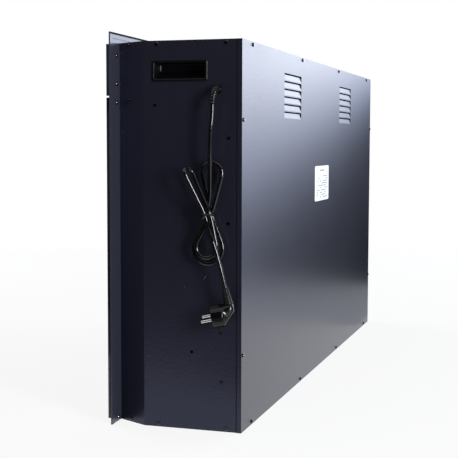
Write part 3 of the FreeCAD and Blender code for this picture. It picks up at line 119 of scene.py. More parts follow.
# Plain collar at the foot of the sleeve: its top, its radius, and how far up and in its foot is rounded
COLLAR_TOP = 16.0
COLLAR_RADIUS = 7.6
COLLAR_ROUND = 3.0
COLLAR_TUCK = 1.5
SLEEVE_RIBS = {"start": 7.2, "end": 4.5, "ribs": 7, "rise": 0.9}
SLEEVE_ROWS, SLEEVE_COLS, PLUG_COLS = 107, 36, 144
# Notch for each earth strip: half width, length from the face, height of its floor above the axis
NOTCH_HALF, NOTCH_BACK, NOTCH_FLOOR = 3.4, 14.3, 17.0

# Grips, in millimetres: width of the rim's face, rise of the floor over the depth, thickness of the rim
GRIP_RIM = 4.5
GRIP_RAMP = 12.5
GRIP_DEPTH = 30.8
GRIP_PROUD = 1.8
# Each ring: out from the panel, growth of its outline, which is the mouth (0) or the rim (1), corner radius
GRIP_PROFILE = (
    (-29.0, -4.0, 0, 2.0), (-28.7, -1.6, 0, 3.0), (-27.6, -0.4, 0, 3.0), (-25.0, 0.0, 0, 3.0),
    (0.4, 0.0, 0, 2.2), (1.2, 0.2, 0, 2.2), (1.65, 0.7, 0, 2.6), (1.8, 1.3, 0, 3.0),
    (1.8, -1.2, 1, 3.2), (1.6, -0.5, 1, 3.8), (1.1, 0.0, 1, 4.0), (0.0, 0.0, 1, 4.0),
    (0.0, 2.0, 0, 2.0), (-30.0, 2.0, 0, 2.0), (-31.0, 0.6, 0, 2.0),
)
CORNER_POINTS = 8

# Logs, in metres: both ends and radius of each, taken a little inside the solids they stand for
LOG_ENDS = (
    ((-0.370, -0.0306, 0.0682), (0.345, -0.0306, 0.0682), 0.0226),
    ((-0.440, -0.0756, 0.0570), (-0.095, -0.0756, 0.0570), 0.0157),
    ((0.070, -0.0756, 0.0570), (0.430, -0.0756, 0.0570), 0.0157),
    ((-0.3372, -0.0838, 0.0857), (0.0172, -0.0224, 0.1112), 0.0148),
    ((0.3670, -0.0848, 0.0861), (0.0430, -0.0214, 0.1124), 0.0148),
)
LOG_SEED = 40
LOG_TAPER = 0.22
LOG_TAPER_RUN = 0.02
LOG_SWELL = 0.05
LOG_ROWS, LOG_COLS = 141, 84

# Ember bed: share of the way forwards and height of the crown there, depth of the gaps, plain edge
EMBER_SHARES = (0.0, 0.15, 0.76, 1.0)
EMBER_CROWN = (0.040, 0.046, 0.040, 0.020)
EMBER_GAP = 0.012
EMBER_EDGE = 0.004
EMBER_SEED = 11
EMBER_ROWS, EMBER_COLS = 60, 460

# Liners: thickness at the rear, face and back in X at the front, share of the way where the back bends,
# depth of the joints, wear of the faces
LINER_WALL = 0.017
LINER_FRONT = 0.549
LINER_BACK = 0.5654
LINER_BEND = 0.53
JOINT_DEPTH = 0.0035
BRICK_WEAR = 0.0006
BRICK_SEED = 31
LINER_ROWS, LINER_COLS = 241, 81

# Printed border of the glass: width and thickness
BORDER_WIDTH = 0.058
BORDER_FILM = 0.00006

# Printed marks: rise above the key, depth in it, and dip of the rocker's face in its middle
MARK_LIFT = 0.02 * MM
MARK_SINK = 0.1 * MM
ROCKER_DIP = 0.9 * MM

# Painted shade beads, black lines that stand for the shadow beside the rear panel's lips and along the
# flange's top: width and rise on the sides and on the flange, way in from the rear panel's back, sunk base
LIP_SHADE_BEAD = (1.9 * MM, 0.6 * MM)
FLANGE_SHADE_BEAD = (3.4 * MM, 0.9 * MM)
LIP_INSET = 8.9 * MM
BEAD_SUNK = 0.0003

# Rivets in each side panel, in millimetres: place in Y and Z, radius, rise
RIVETS = (
    (50.8, 260.0, 3.2, 1.6), (11.9, 390.0, 1.5, 0.6), (14.4, 359.0, 1.5, 0.6), (15.4, 244.0, 1.6, 0.6),
)


class HearthFinishes(bpy.types.PropertyGroup):
    """Colours and gloss of the insert."""
    coat: FloatVectorProperty(
        name="Coat", description="Powder coat of the casing", subtype="COLOR", size=4,
        default=(0.0078, 0.008, 0.0135, 1.0), min=0.0, max=1.0)
    coat_roughness: FloatProperty(
        name="Coat roughness", description="Roughness of the powder coat", default=0.298, min=0.0, max=1.0)
    lead: FloatVectorProperty(
        name="Lead", description="Sheath of the mains lead", subtype="COLOR", size=4,
        default=(0.0018, 0.0018, 0.0022, 1.0), min=0.0, max=1.0)
    brick: FloatVectorProperty(
        name="Brick", description="Moulded brick of the liners", subtype="COLOR", size=4,
        default=(0.085, 0.07, 0.06, 1.0), min=0.0, max=1.0)
    bark: FloatVectorProperty(
        name="Bark", description="Moulded bark of the logs", subtype="COLOR", size=4,
        default=(0.17, 0.1, 0.06, 1.0), min=0.0, max=1.0)
    ember: FloatVectorProperty(
        name="Ember", description="Amber of the ember bed", subtype="COLOR", size=4,
        default=(0.5, 0.12, 0.02, 1.0), min=0.0, max=1.0)


class HearthSizes(bpy.types.PropertyGroup):
    """Sizes of the dressed pieces."""
    lead_diameter: FloatProperty(
        name="Lead diameter", description="Outer diameter of the mains lead", default=0.0072, unit="LENGTH")
    lead_length: FloatProperty(
        name="Lead length", description="Free length of the mains lead", default=1.063, unit="LENGTH")
    bark_depth: FloatProperty(
        name="Bark depth", description="Depth of the furrows in the logs", default=0.0032, unit="LENGTH")
    coal_size: FloatProperty(
        name="Coal size", description="Radius of a coal in the ember bed", default=0.017, unit="LENGTH")
    courses: IntProperty(
        name="Courses", description="Courses of brick on each liner", default=8, min=1)
    joint_width: FloatProperty(
        name="Joint width", description="Width of the joints between bricks", default=0.007, unit="LENGTH")


class HearthStudio(bpy.types.PropertyGroup):
    """Camera and light."""
    camera_place: FloatVectorProperty(
        name="Camera", description="Place of the camera", subtype="XYZ", unit="LENGTH",
        default=(2.31854, 0.62753, 0.48542))
    camera_angles: FloatVectorProperty(
        name="Camera angles", description="Turn of the view away from -X, its dip and its roll",
        subtype="EULER", default=(math.radians(17.243), math.radians(4.536), math.radians(0.1375)))
    camera_lens: FloatProperty(
        name="Lens", description="Focal length", default=85.508, unit="CAMERA")
    sky: FloatProperty(
        name="Sky", description="Strength of the all-round light", default=0.3, min=0.0)


def unit(vector):
    """Vector of length one."""
    return np.asarray(vector, float) / np.linalg.norm(vector)


def circle(count):
    """Angles of evenly spaced points round a circle."""
    return np.linspace(0.0, FULL_TURN, count, endpoint=False)


def corners_of(node_name):
    """Low and high corner of a solid's box as arrays."""
    return (np.array(corner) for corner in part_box(node_name))


def stacked(*axes):
    """Arrays of like or fitting shapes, put together along a new last axis."""
    return np.stack(np.broadcast_arrays(*axes), axis=-1)


def grid_faces(rows, cols, rings):
    """Quads of a grid, either open or with columns that close into rings."""
    row = np.arange(rows - 1)[:, None] * cols
    col = np.arange(cols if rings else cols - 1)
    nxt = (col + 1) % cols
    return stacked(row + col, row + nxt, row + cols + nxt, row + cols + col).reshape(-1, 4)


def outward(points, quads, tris=NO_TRIS):
    """Shell with its faces turned so that its volume, a sum of signed tetrahedra, is positive."""
    corners = np.concatenate([quads[:, [0, 1, 2]], quads[:, [0, 2, 3]], tris])
    a, b, c = (points[corners[:, k]] - points.mean(axis=0) for k in range(3))
    if np.einsum("ij,ij->i", a, np.cross(b, c)).sum() < 0:
        return points, quads[:, ::-1], tris[:, ::-1]
    return points, quads, tris


def ring_shell(rings):
    """Closed shell: rings joined row by row, with a fan from the middle of the first and the last ring."""
    rows, cols = rings.shape[:2]
    points = np.concatenate([rings.reshape(-1, 3), rings[[0, -1]].mean(axis=1)])
    col = np.arange(cols)
    nxt = (col + 1) % cols
    last = (rows - 1) * cols
    fans = stacked(nxt, col, rows * cols), stacked(last + col, last + nxt, rows * cols + 1)
    return outward(points, grid_faces(rows, cols, True), np.concatenate(fans))


def slab_shell(front, back):
    """Closed shell between two grids of the same shape, joined along their borders."""
    rows, cols = front.shape[:2]
    count = rows * cols
    points = np.concatenate([front.reshape(-1, 3), back.reshape(-1, 3)])
    faces = grid_faces(rows, cols, False)
    grid = np.arange(count).reshape(rows, cols)
    border = np.concatenate([grid[0, :-1], grid[:-1, -1], grid[-1, :0:-1], grid[:0:-1, 0]])
    after = np.roll(border, -1)
    skirt = stacked(after, border, border + count, after + count)
    return outward(points, np.concatenate([faces, faces[:, ::-1] + count, skirt]))


def placed(name, data):
    """New object in the scene."""
    made = bpy.data.objects.new(name, data)
    bpy.context.scene.collection.objects.link(made)
    return made


def add_piece(name, shells, slot, replaced=(), body=BODY):
    """One object from closed shells, smooth but for its sharp edges, dressed for a slot and a body."""
    points, faces, start = [], [], 0
    for part, quads, tris in shells:
        points += part.tolist()
        faces += (quads + start).tolist() + (tris + start).tolist()
        start += len(part)
    mesh = bpy.data.meshes.new(name)
    mesh.from_pydata(points, [], faces)
    mesh.shade_smooth()
    mesh.set_sharp_from_angle(angle=CREASE)
    return dressed(name, mesh, slot, replaced, body)


def dressed(name, data, slot, replaced, body):
    """Object with the finish of a slot, in the scene, on its body, in place of the solids it stands for."""
    data.materials.append(finish_of(slot))
    piece = placed(name, data)
    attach(piece, body)
    if replaced:
        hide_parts(*replaced)
    return piece


def waves(seed, around, along, turns, runs, count):
    """Smooth noise from -1 to 1: a sum of cosines with whole turns around and random runs along."""
    draw = np.random.default_rng(seed)
    m = draw.integers(turns[0], turns[1] + 1, count)
    n = draw.uniform(runs[0], runs[1], count)
    phase = draw.uniform(0, FULL_TURN, count)
    field = np.cos(around[..., None] * m + along[..., None] * n + phase).sum(axis=-1)
    return field / np.abs(field).max()


def node(tree, kind, links=(), **settings):
    """Shader node with its settings; links are (socket, source or value) pairs."""
    made = tree.nodes.new("ShaderNode" + kind)
    for key, value in settings.items():
        setattr(made, key, value)
    for socket, source in links:
        if isinstance(source, bpy.types.NodeSocket):
            tree.links.new(source, made.inputs[socket])
        else:
            made.inputs[socket].default_value = source
    return made


def math_node(tree, operation, *values):
    """Output of one sum, product or other step."""
    return node(tree, "Math", tuple(enumerate(values)), operation=operation).outputs[0]


def plus(tree, a, b):
    """Sum of two values."""
    return math_node(tree, "ADD", a, b)


def times(tree, a, b):
    """Product of two values."""
    return math_node(tree, "MULTIPLY", a, b)


def within(tree, value, middle, half):
    """One where a value lies less than half a width from the middle, nought elsewhere."""
    away = math_node(tree, "ABSOLUTE", math_node(tree, "SUBTRACT", value, middle))
    return math_node(tree, "LESS_THAN", away, half)


def ranged(tree, value, low, high, to_low=0.0, to_high=1.0, **settings):
    """Value between low and high carried over to another range, and held at its ends."""
    return node(tree, "MapRange", (
        ("Value", value), ("From Min", low), ("From Max", high), ("To Min", to_low), ("To Max", to_high),
    ), **settings).outputs["Result"]


def spread(tree, value, low, high):
    """Value from 0 to 1 spread between low and high."""
    return ranged(tree, value, 0.0, 1.0, low, high)


def object_place(tree):
    """Object coordinates."""
    return node(tree, "TexCoord").outputs["Object"]


def axes_of(tree, place):
    """X, Y and Z of a place."""
    return node(tree, "SeparateXYZ", ((0, place),)).outputs


def place_of(tree, scale=(1.0, 1.0, 1.0)):
    """Object coordinates, stretched."""
    return node(tree, "Mapping", (("Vector", object_place(tree)), ("Scale", scale))).outputs["Vector"]


def noise(tree, place, scale, detail):
    """Cloudy noise from 0 to 1."""
    return node(tree, "TexNoise", (("Vector", place), ("Scale", scale), ("Detail", detail))).outputs["Fac"]


def mixed(tree, share, first, second, blend="MIX"):
    """Colour mixed from two."""
    mix = node(tree, "Mix", ((0, share), (6, first), (7, second)), data_type="RGBA", blend_type=blend)
    return mix.outputs[2]


def toned(tree, tint, value, low, high):
    """Tint made darker or lighter by a value from 0 to 1."""
    level = spread(tree, value, low, high)
    grey = node(tree, "CombineColor", ((0, level), (1, level), (2, level))).outputs[0]
    return mixed(tree, 1.0, tint, grey, "MULTIPLY")


def ramped(tree, value, stops):
    """Colour from a ramp through stops, each a position and a colour, the first and the last outermost."""
    ramp = node(tree, "ValToRGB", ((0, value),))
    elements = ramp.color_ramp.elements
    for k in (0, -1):
        elements[k].position, elements[k].color = stops[k]
    for position, colour in stops[1:-1]:
        elements.new(position).color = colour
    return ramp.outputs[0]


GRAIN_INPUTS = (
    ("Tint", "NodeSocketColor", (0.5, 0.5, 0.5, 1.0)),
    ("Roughness", "NodeSocketFloat", 0.5),
    ("Scale", "NodeSocketFloat", 800.0),
)
GRAIN_OUTPUTS = (
    ("Color", "NodeSocketColor"), ("Roughness", "NodeSocketFloat"), ("Height", "NodeSocketFloat"),
)


def grain_group(name):
    """Tree of a node group with the sockets of a grain, and those sockets to take from and to give to."""
    tree = bpy.data.node_groups.new(name, "ShaderNodeTree")
    for label, kind, value in GRAIN_INPUTS:
        tree.interface.new_socket(label, in_out="INPUT", socket_type=kind).default_value = value
    for label, kind in GRAIN_OUTPUTS:
        tree.interface.new_socket(label, in_out="OUTPUT", socket_type=kind)
    return tree, tree.nodes.new("NodeGroupInput").outputs, tree.nodes.new("NodeGroupOutput").inputs


def give_grain(tree, given, out, tone, tones, wear, drift, height):
    """Put out the tint toned between two levels, the roughness with a drift by wear, and the height."""
    tree.links.new(toned(tree, given["Tint"], tone, *tones), out["Color"])
    tree.links.new(plus(tree, given["Roughness"], spread(tree, wear, -drift, drift)), out["Roughness"])
    tree.links.new(height, out["Height"])
    return tree


def coat_group():
    """Powder coat: orange peel and mottle, upright streaks of the sheet, a slow drift of tone and gloss."""
    tree, given, out = grain_group("Coat grain")
    place = place_of(tree)
    peel = noise(tree, place, given["Scale"], 3.0)
    drift = noise(tree, place, 7.0, 4.0)
    streak = noise(tree, place_of(tree, (1.0, 1.0, 0.03)), 160.0, 3.0)
    mottle = noise(tree, place, 230.0, 2.0)
    tone = plus(tree, times(tree, drift, 0.4), times(tree, plus(tree, peel, streak), 0.3))
    worn = times(tree, plus(tree, drift, streak), 0.5)
    relief = plus(tree, times(tree, peel, 0.3), times(tree, mottle, 2.0))
    return give_grain(tree, given, out, tone, (0.75, 1.25), worn, 0.022, relief)


def mould_group():
    """Moulded plastic: fine spark-eroded grain and slight changes of gloss."""
    tree, given, out = grain_group("Moulded grain")
    place = place_of(tree)
    grain = node(tree, "TexVoronoi", (("Vector", place), ("Scale", given["Scale"])), feature="SMOOTH_F1")
    drift = noise(tree, place, 30.0, 3.0)
    return give_grain(tree, given, out, drift, (0.8, 1.2), drift, 0.06, grain.outputs["Distance"])


def metal_group():
    """Rolled metal: streaks along X and cloudy spangle."""
    tree, given, out = grain_group("Rolled streaks")
    streak = noise(tree, place_of(tree, (0.06, 1.0, 1.0)), given["Scale"], 4.0)
    spangle = node(tree, "TexVoronoi", (("Vector", place_of(tree)), ("Scale", 70.0)))
    grey = node(tree, "SeparateColor", ((0, spangle.outputs["Color"]),)).outputs[0]
    tone = plus(tree, times(tree, streak, 0.6), times(tree, grey, 0.4))
    return give_grain(tree, given, out, tone, (0.8, 1.15), tone, 0.08, streak)


def material(name, values):
    """Material whose shader has these plain values on its own sockets."""
    made = bpy.data.materials.new(name)
    made.use_nodes = True
    shader = made.node_tree.nodes["Principled BSDF"]
    for socket, value in values.items():
        shader.inputs[socket].default_value = value
    return made, made.node_tree, shader


def surfaced(tree, shader, colour, height, distance):
    """Colour of a surface, and its relief from a height in units of a distance."""
    bump = node(tree, "Bump", (("Strength", 1.0), ("Distance", distance), ("Height", height)))
    tree.links.new(bump.outputs["Normal"], shader.inputs["Normal"])
    tree.links.new(colour, shader.inputs["Base Color"])


def grained(name, group, tint, roughness, scale, relief, values):
    """Material that takes colour, roughness and relief from one of the shared groups."""
    made, tree, shader = material(name, values)
    grain = node(tree, "Group", node_tree=group)
    for label, value in (("Tint", tint), ("Roughness", roughness), ("Scale", scale)):
        grain.inputs[label].default_value = value
    tree.links.new(grain.outputs["Roughness"], shader.inputs["Roughness"])
    surfaced(tree, shader, grain.outputs["Color"], grain.outputs["Height"], relief)
    return made


def label_finish():
    """White sticker with rows of grey bars of uneven length and one solid bar above them."""
    made, tree, shader = material("Sticker", {"Roughness": 0.35})
    low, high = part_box("rating_label")
    axes = axes_of(tree, object_place(tree))
    across, upward = (
        math_node(tree, "DIVIDE", math_node(tree, "SUBTRACT", axes[k], low[k]), high[k] - low[k])
        for k in (0, 2))
    rows = times(tree, upward, 15.0)
    thin = math_node(tree, "COMPARE", math_node(tree, "FRACT", rows), 0.5, 0.2)
    cell = ((0, times(tree, across, 9.0)), (1, math_node(tree, "FLOOR", rows)))
    step = node(tree, "CombineXYZ", cell).outputs[0]
    whole = node(tree, "VectorMath", ((0, step),), operation="FLOOR").outputs[0]
    dashes = node(tree, "TexWhiteNoise", ((0, whole),)).outputs["Value"]
    inked = math_node(tree, "GREATER_THAN", dashes, 0.42)
    table = times(tree, within(tree, across, 0.5, 0.4), within(tree, upward, 0.42, 0.34))
    head = times(tree, within(tree, across, 0.5, 0.17), within(tree, upward, 0.87, 0.022))
    ink = math_node(tree, "MAXIMUM", times(tree, times(tree, thin, inked), table), head)
    fibre = noise(tree, place_of(tree), 900.0, 2.0)
    paper = toned(tree, (0.86, 0.89, 0.93, 1.0), fibre, 0.94, 1.06)
    printed = mixed(tree, times(tree, ink, 0.8), paper, (0.12, 0.13, 0.15, 1.0))
    surfaced(tree, shader, printed, fibre, 0.00003)
    return made


def board_finish():
    """Circuit board: green lacquer over straight tracks with small bright pads."""
    made, tree, shader = material("Circuit board", {"Roughness": 0.35})
    tracks = node(tree, "TexBrick", (
        ("Vector", place_of(tree)), ("Scale", 90.0), ("Color1", (0.02, 0.16, 0.06, 1.0)),
        ("Color2", (0.03, 0.22, 0.08, 1.0)), ("Mortar", (0.012, 0.1, 0.04, 1.0)), ("Mortar Size", 0.06)))
    pads = node(tree, "TexVoronoi", (("Vector", place_of(tree)), ("Scale", 260.0)))
    dots = math_node(tree, "LESS_THAN", pads.outputs["Distance"], 0.16)
    lacquer = mixed(tree, dots, tracks.outputs["Color"], (0.6, 0.6, 0.62, 1.0))
    surfaced(tree, shader, lacquer, tracks.outputs["Fac"], 0.00006)
    return made


def pane_finish():
    """Clear glass with a faint grey green body and almost invisible wipe marks."""
    made, tree, shader = material("Front pane", {
        "Base Color": (0.93, 0.95, 0.945, 1.0), "Transmission Weight": 1.0, "IOR": 1.5})
    wipe = noise(tree, place_of(tree, (1.0, 1.0, 3.0)), 6.0, 5.0)
    tree.links.new(spread(tree, wipe, 0.0, 0.03), shader.inputs["Roughness"])
    return made


def brick_finish(tint):
    """Moulded brick: darker with soot towards the top, in uneven blocks of tone, with pitted faces."""
    made, tree, shader = material("Moulded brick", {"Roughness": 0.85})
    place = place_of(tree)
    pits = noise(tree, place, 160.0, 6.0)
    blocks = noise(tree, place, 9.0, 2.0)
    soot = ranged(tree, axes_of(tree, place)[2], 0.05, 0.5, 1.25, 0.6)
    tone = times(tree, soot, spread(tree, blocks, 0.45, 1.2))
    tone = times(tree, tone, spread(tree, pits, 0.7, 1.25))
    surfaced(tree, shader, toned(tree, tint, tone, 0.0, 1.3), pits, 0.0008)
    return made


def bark_finish(tint):
    """Charred bark: furrows along X, pale worn ridges, black char where the slow noise is high."""
    made, tree, shader = material("Charred bark", {"Roughness": 0.8})
    furrow = noise(tree, place_of(tree, (0.16, 1.0, 1.0)), 150.0, 6.0)
    slow = noise(tree, place_of(tree), 14.0, 4.0)
    char = ramped(tree, slow, ((0.42, WHITE), (0.64, (0.16, 0.13, 0.12, 1.0))))
    wood = toned(tree, tint, furrow, 0.25, 1.75)
    surfaced(tree, shader, mixed(tree, 1.0, wood, char, "MULTIPLY"), furrow, 0.0015)
    return made


def ember_finish(tint):
    """Ember bed: patches of amber, charcoal and ash grey, finely pitted."""
    made, tree, shader = material("Embers", {"Roughness": 0.55})
    place = place_of(tree)
    patches = ramped(tree, noise(tree, place, 42.0, 6.0), (
        (0.36, tint), (0.48, (0.022, 0.018, 0.016, 1.0)), (0.66, (0.14, 0.13, 0.125, 1.0))))
    surfaced(tree, shader, patches, noise(tree, place, 240.0, 4.0), 0.0012)
    return made


def tone_of(value, drift=1.0):
    """Grey as a colour with alpha, a little bluer by drift."""
    return (value, value, value * drift, 1.0)


def slot_finishes():
    """Material for each slot of the record."""
    finishes = bpy.context.scene.hearth_finishes
    coat, mould, metal = coat_group(), mould_group(), metal_group()
    tint = tuple(finishes.coat)
    lead = tuple(finishes.lead)
    rough = finishes.coat_roughness
    blued = {"Specular IOR Level": 0.65, "Specular Tint": (0.66, 0.68, 1.0, 1.0)}
    cool = {"Specular IOR Level": 0.5, "Specular Tint": (0.86, 0.88, 1.0, 1.0)}
    dull = {"Specular IOR Level": 0.2}
    shine = {"Specular IOR Level": 0.3}
    bright = {"Specular IOR Level": 0.55}
    plain = {}
    steel = {"Metallic": 1.0}
    oiled = {"Metallic": 1.0, "Coat Weight": 1.0, "Coat Roughness": 0.06}
    # Slot, then name, group, tint, roughness, scale of the grain, depth of the relief, further values
    rows = (
        ("casing_black", "Casing coat", coat, tint, rough, 900.0, 0.00012, blued),
        # The flange wears the casing's coat made about three times lighter: painted light.
        ("flange_black", "Flange coat painted lighter", coat, (0.026, 0.028, 0.041, 1.0), rough, 900.0, 0.00012, blued),
        ("fascia_black", "Fascia coat", coat, (0.008, 0.0082, 0.0102, 1.0), 0.4, 1200.0, 0.00008, cool),
        ("motor_can", "Motor paint", coat, tone_of(0.22, 1.05), 0.4, 900.0, 0.0001, plain),
        ("screw_black", "Black screws", metal, tone_of(0.012, 1.1), 0.12, 900.0, 0.00001, oiled),
        ("zinc_sheet", "Zinc sheet", metal, tone_of(0.6, 1.03), 0.38, 500.0, 0.00004, steel),
        ("steel_rod", "Turned steel", metal, tone_of(0.62), 0.25, 2500.0, 0.00002, steel),
        ("wheel_alloy", "Bright alloy", metal, tone_of(0.72, 1.01), 0.3, 900.0, 0.00003, steel),
        ("bush_bronze", "Bush bronze", metal, (0.5, 0.34, 0.15, 1.0), 0.35, 1500.0, 0.00003, steel),
        ("heater_alloy", "Heater alloy", metal, tone_of(0.55), 0.42, 1200.0, 0.00005, steel),
        ("pin_nickel", "Nickel plate", metal, (0.74, 0.72, 0.68, 1.0), 0.2, 2500.0, 0.00001, steel),
        ("flag_mirror", "Mirror flags", metal, tone_of(0.85), 0.08, 900.0, 0.00001, steel),
        ("reflector_bright", "Reflector sheet", metal, tone_of(0.78), 0.14, 600.0, 0.00002, steel),
        # This black foam finish also colours the beads of painted shade at the lips and the flange's top.
        ("tape_foam", "Foam tape and shade beads", mould, tone_of(0.006), 0.85, 1800.0, 0.0002, dull),
        ("grip_plastic", "Grip moulding", mould, (0.002, 0.002, 0.003, 1.0), 0.3, 2600.0, 0.00003, dull),
        ("terminal_white", "White moulding", mould, (0.78, 0.78, 0.74, 1.0), 0.4, 1500.0, 0.00003, plain),
        ("cutout_body", "Cut-out disc", mould, (0.05, 0.035, 0.03, 1.0), 0.5, 1500.0, 0.00005, plain),
        ("lead_rubber", "Lead sheath", mould, lead, 0.07, 2200.0, 0.000003, bright),
        ("plug_plastic", "Plug moulding", mould, lead, 0.16, 2600.0, 0.00001, shine),
        ("tie_wire", "Tie wire", mould, tone_of(0.006, 1.1), 0.3, 2500.0, 0.00003, plain),
        ("screen_frosted", "Frosted screen", mould, tone_of(0.022, 1.05), 0.5, 1500.0, 0.00004, plain),
        ("bezel_plastic", "Bezel moulding", mould, (0.008, 0.008, 0.009, 1.0), 0.16, 2600.0, 0.00002, plain),
        ("button_plastic", "Button moulding", mould, tone_of(0.03, 1.05), 0.4, 2600.0, 0.00003, plain),
    )
    return {
        **{slot: grained(*values) for slot, *values in rows},
        "front_pane": pane_finish(),
        "label_paper": label_finish(),
        "board_green": board_finish(),
        "liner_brick": brick_finish(tuple(finishes.brick)),
        "ember_resin": ember_finish(tuple(finishes.ember)),
        "log_resin": bark_finish(tuple(finishes.bark)),
    }


def finish_of(slot):
    """Material made for a slot, found by the solids that wear it."""
    for entry in frame["record"]["subparts"]:
        if entry["material_slot"] == slot:
            return frame["nodes"][entry["node"]].data.materials[0]
    raise KeyError(slot)


class HEARTH_OT_paint(bpy.types.Operator):
    """Give every solid the finish of its slot"""
    bl_idname = "hearth.paint"
    bl_label = "Paint solids"

    def execute(self, context):
        finishes = slot_finishes()
        for entry in frame["record"]["subparts"]:
            slots = frame["nodes"][entry["node"]].data.materials
            slots.clear()
            slots.append(finishes[entry["material_slot"]])
        return {"FINISHED"}


def lead_point(out, forward, drop):
    """Point of the lead in metres, counted from its exit in the side panel."""
    return np.array([SIDE_X + out, EXIT_Y - forward, EXIT_Z - drop]) * MM


def loop_points(forward, drop, radius, out_in, out_out, tilt, side):
    """Points round one loop: an arc past a half circle that leans away from the waist, tilted outwards."""
    lead_radius = bpy.context.scene.hearth_sizes.lead_diameter / MM / 2
    axis = np.array([0.0, WAIST_FORWARD - forward, WAIST_DROP - drop])
    wrap = math.pi / 2 + math.asin((radius - lead_radius) / np.linalg.norm(axis))
    axis = unit(axis)
    edge = np.array([0.0, -abs(axis[2]), abs(axis[2]) / axis[2] * axis[1]])
    lean = math.radians(tilt)
    sweep = edge * math.cos(lean) + np.array([math.sin(lean), 0.0, 0.0])
    share = np.linspace(1.0, -1.0, LOOP_POINTS)[:, None]
    out = out_out + (out_in - out_out) * (share + 1) / 2
    centre = lead_point(0.0, forward, drop) + np.array([MM, 0.0, 0.0]) * out
    arc = axis * np.cos(wrap * share) + sweep * (side * np.sin(wrap * share))
    return centre + arc * radius * MM


def lead_route():
    """Control points of the lead: feed, slots of the waist with strands to and from the loops, tail."""
    route = [lead_point(*p) for p in FEED]
    loops = [loop_points(*values) for values in LOOPS]
    for i, (out, forward) in enumerate(WAIST_SLOTS):
        slot = lead_point(out, forward, WAIST_DROP)
        if i:
            left = loops[i - 1][-1]
            route += [left + (slot - left) * share for share in STRAND_SHARES]
        route.append(slot)
        if i < len(loops):
            met = loops[i][0]
            route += [met + (slot - met) * share for share in STRAND_SHARES[::-1]]
            route += list(loops[i])
    return np.array(route + [lead_point(*p) for p in TAIL])


def lead_curve(route, diameter):
    """Round cord along a curve of degree two through the ends of the route and along its other points."""
    curve = bpy.data.curves.new("mains_lead", "CURVE")
    curve.dimensions = "3D"
    curve.bevel_depth = diameter / 2
    curve.bevel_resolution = 5
    curve.use_fill_caps = True
    spline = curve.splines.new("NURBS")
    spline.points.add(len(route) - 1)
    spline.points.foreach_set("co", np.c_[route, np.ones(len(route))].ravel())
    spline.order_u = 3
    spline.use_endpoint_u = True
    spline.resolution_u = 8
    return curve


def turned_rings(places, ways, radii, cols):
    """Circles round a path, each square to the direction of the path there, with a radius of its own."""
    turn = circle(cols)
    ways = np.broadcast_to(ways, places.shape)
    side = np.cross(ways, [0.0, 1.0, 0.0])
    side /= np.linalg.norm(side, axis=1)[:, None]
    other = np.cross(ways, side)
    disc = side[:, None] * np.cos(turn)[None, :, None] + other[:, None] * np.sin(turn)[None, :, None]
    return places[:, None] + disc * radii[:, None, None]


def ribbed(share, start, end, ribs, rise):
    """Radius along a sleeve that tapers from start to end, with rounded ribs."""
    return start + (end - start) * share + rise * np.sin(math.pi * ribs * share) ** 2


def beside(out, y, z):
    """Places in metres at distances out from the right side panel, from millimetres."""
    return stacked(SIDE_X + out, y, z) * MM


def relief_shells():
    """Strain relief: a round flange with a soft edge, and a ribbed sleeve bent a quarter turn downwards."""
    share = np.linspace(0.0, 1.0, RELIEF_ROWS)
    turn = share * math.pi / 2
    places = beside(RELIEF_BASE + RELIEF_BEND * np.sin(turn), EXIT_Y,
                    EXIT_Z - RELIEF_BEND + RELIEF_BEND * np.cos(turn))
    ways = stacked(np.cos(turn), 0.0, -np.sin(turn))
    sleeve = turned_rings(places, ways, ribbed(share, **RELIEF_RIBS) * MM, RELIEF_COLS)
    steps = beside(np.array(RELIEF_STEPS), EXIT_Y, EXIT_Z)
    flange = turned_rings(steps, [1.0, 0.0, 0.0], np.array(RELIEF_RADII) * MM, FLANGE_COLS)
    return [ring_shell(sleeve), ring_shell(flange)]


def plug_frame():
    """Where the axes of plug and sleeve meet, and directions of pins, lead, pin row and across the row."""
    end = lead_point(*TAIL[-1])
    up = unit(lead_point(*TAIL[-2]) - end)
    rough = np.array([math.sin(PLUG_SWING), -math.cos(PLUG_SWING), 0.0])
    pins = unit(rough - up * rough.dot(up))
    row = np.cross(up, pins) * math.cos(PLUG_ROLL) - up * math.sin(PLUG_ROLL)
    return end - up * SLEEVE_TOP * MM, pins, up, row, np.cross(pins, row)


def superellipse(cosine, half, square):
    """Cosine raised to two over the squareness, with its sign kept, times a half size."""
    return np.sign(cosine) * np.abs(cosine) ** (2 / square) * half


def plug_shells():
    """Angled plug: superellipse rings from round face to wedge, flats for earth strips, ribbed sleeve."""
    root, pins, up, row, rim = plug_frame()
    back, wide, tall, shift, square = np.array(PLUG_RINGS).T[..., None]
    turn = circle(PLUG_COLS)[None, :]
    a = superellipse(np.cos(turn), wide, square)
    b = superellipse(np.sin(turn), tall, square) + shift
    spots = a[..., None] * np.cross(up, pins) + b[..., None] * up
    high = spots @ rim
    notched = (np.abs(spots @ row) < NOTCH_HALF) & (back < NOTCH_BACK) & (np.abs(high) > NOTCH_FLOOR)
    spots += np.where(notched, np.sign(high) * NOTCH_FLOOR - high, 0.0)[..., None] * rim
    rings = root + MM * (spots + (PLUG_AHEAD - back)[..., None] * pins)
    height = np.linspace(SLEEVE_FOOT, SLEEVE_TOP, SLEEVE_ROWS)
    share = np.clip((height - COLLAR_TOP) / (SLEEVE_TOP - COLLAR_TOP), 0.0, 1.0)
    radii = np.where(height < COLLAR_TOP, COLLAR_RADIUS, ribbed(share, **SLEEVE_RIBS))
    foot = np.clip((SLEEVE_FOOT + COLLAR_ROUND - height) / COLLAR_ROUND, 0.0, 1.0)
    radii = (radii - COLLAR_TUCK * foot ** 2) * MM
    sleeve = turned_rings(root + height[:, None] * up * MM, up, radii, SLEEVE_COLS)
    return [ring_shell(rings), ring_shell(sleeve)]


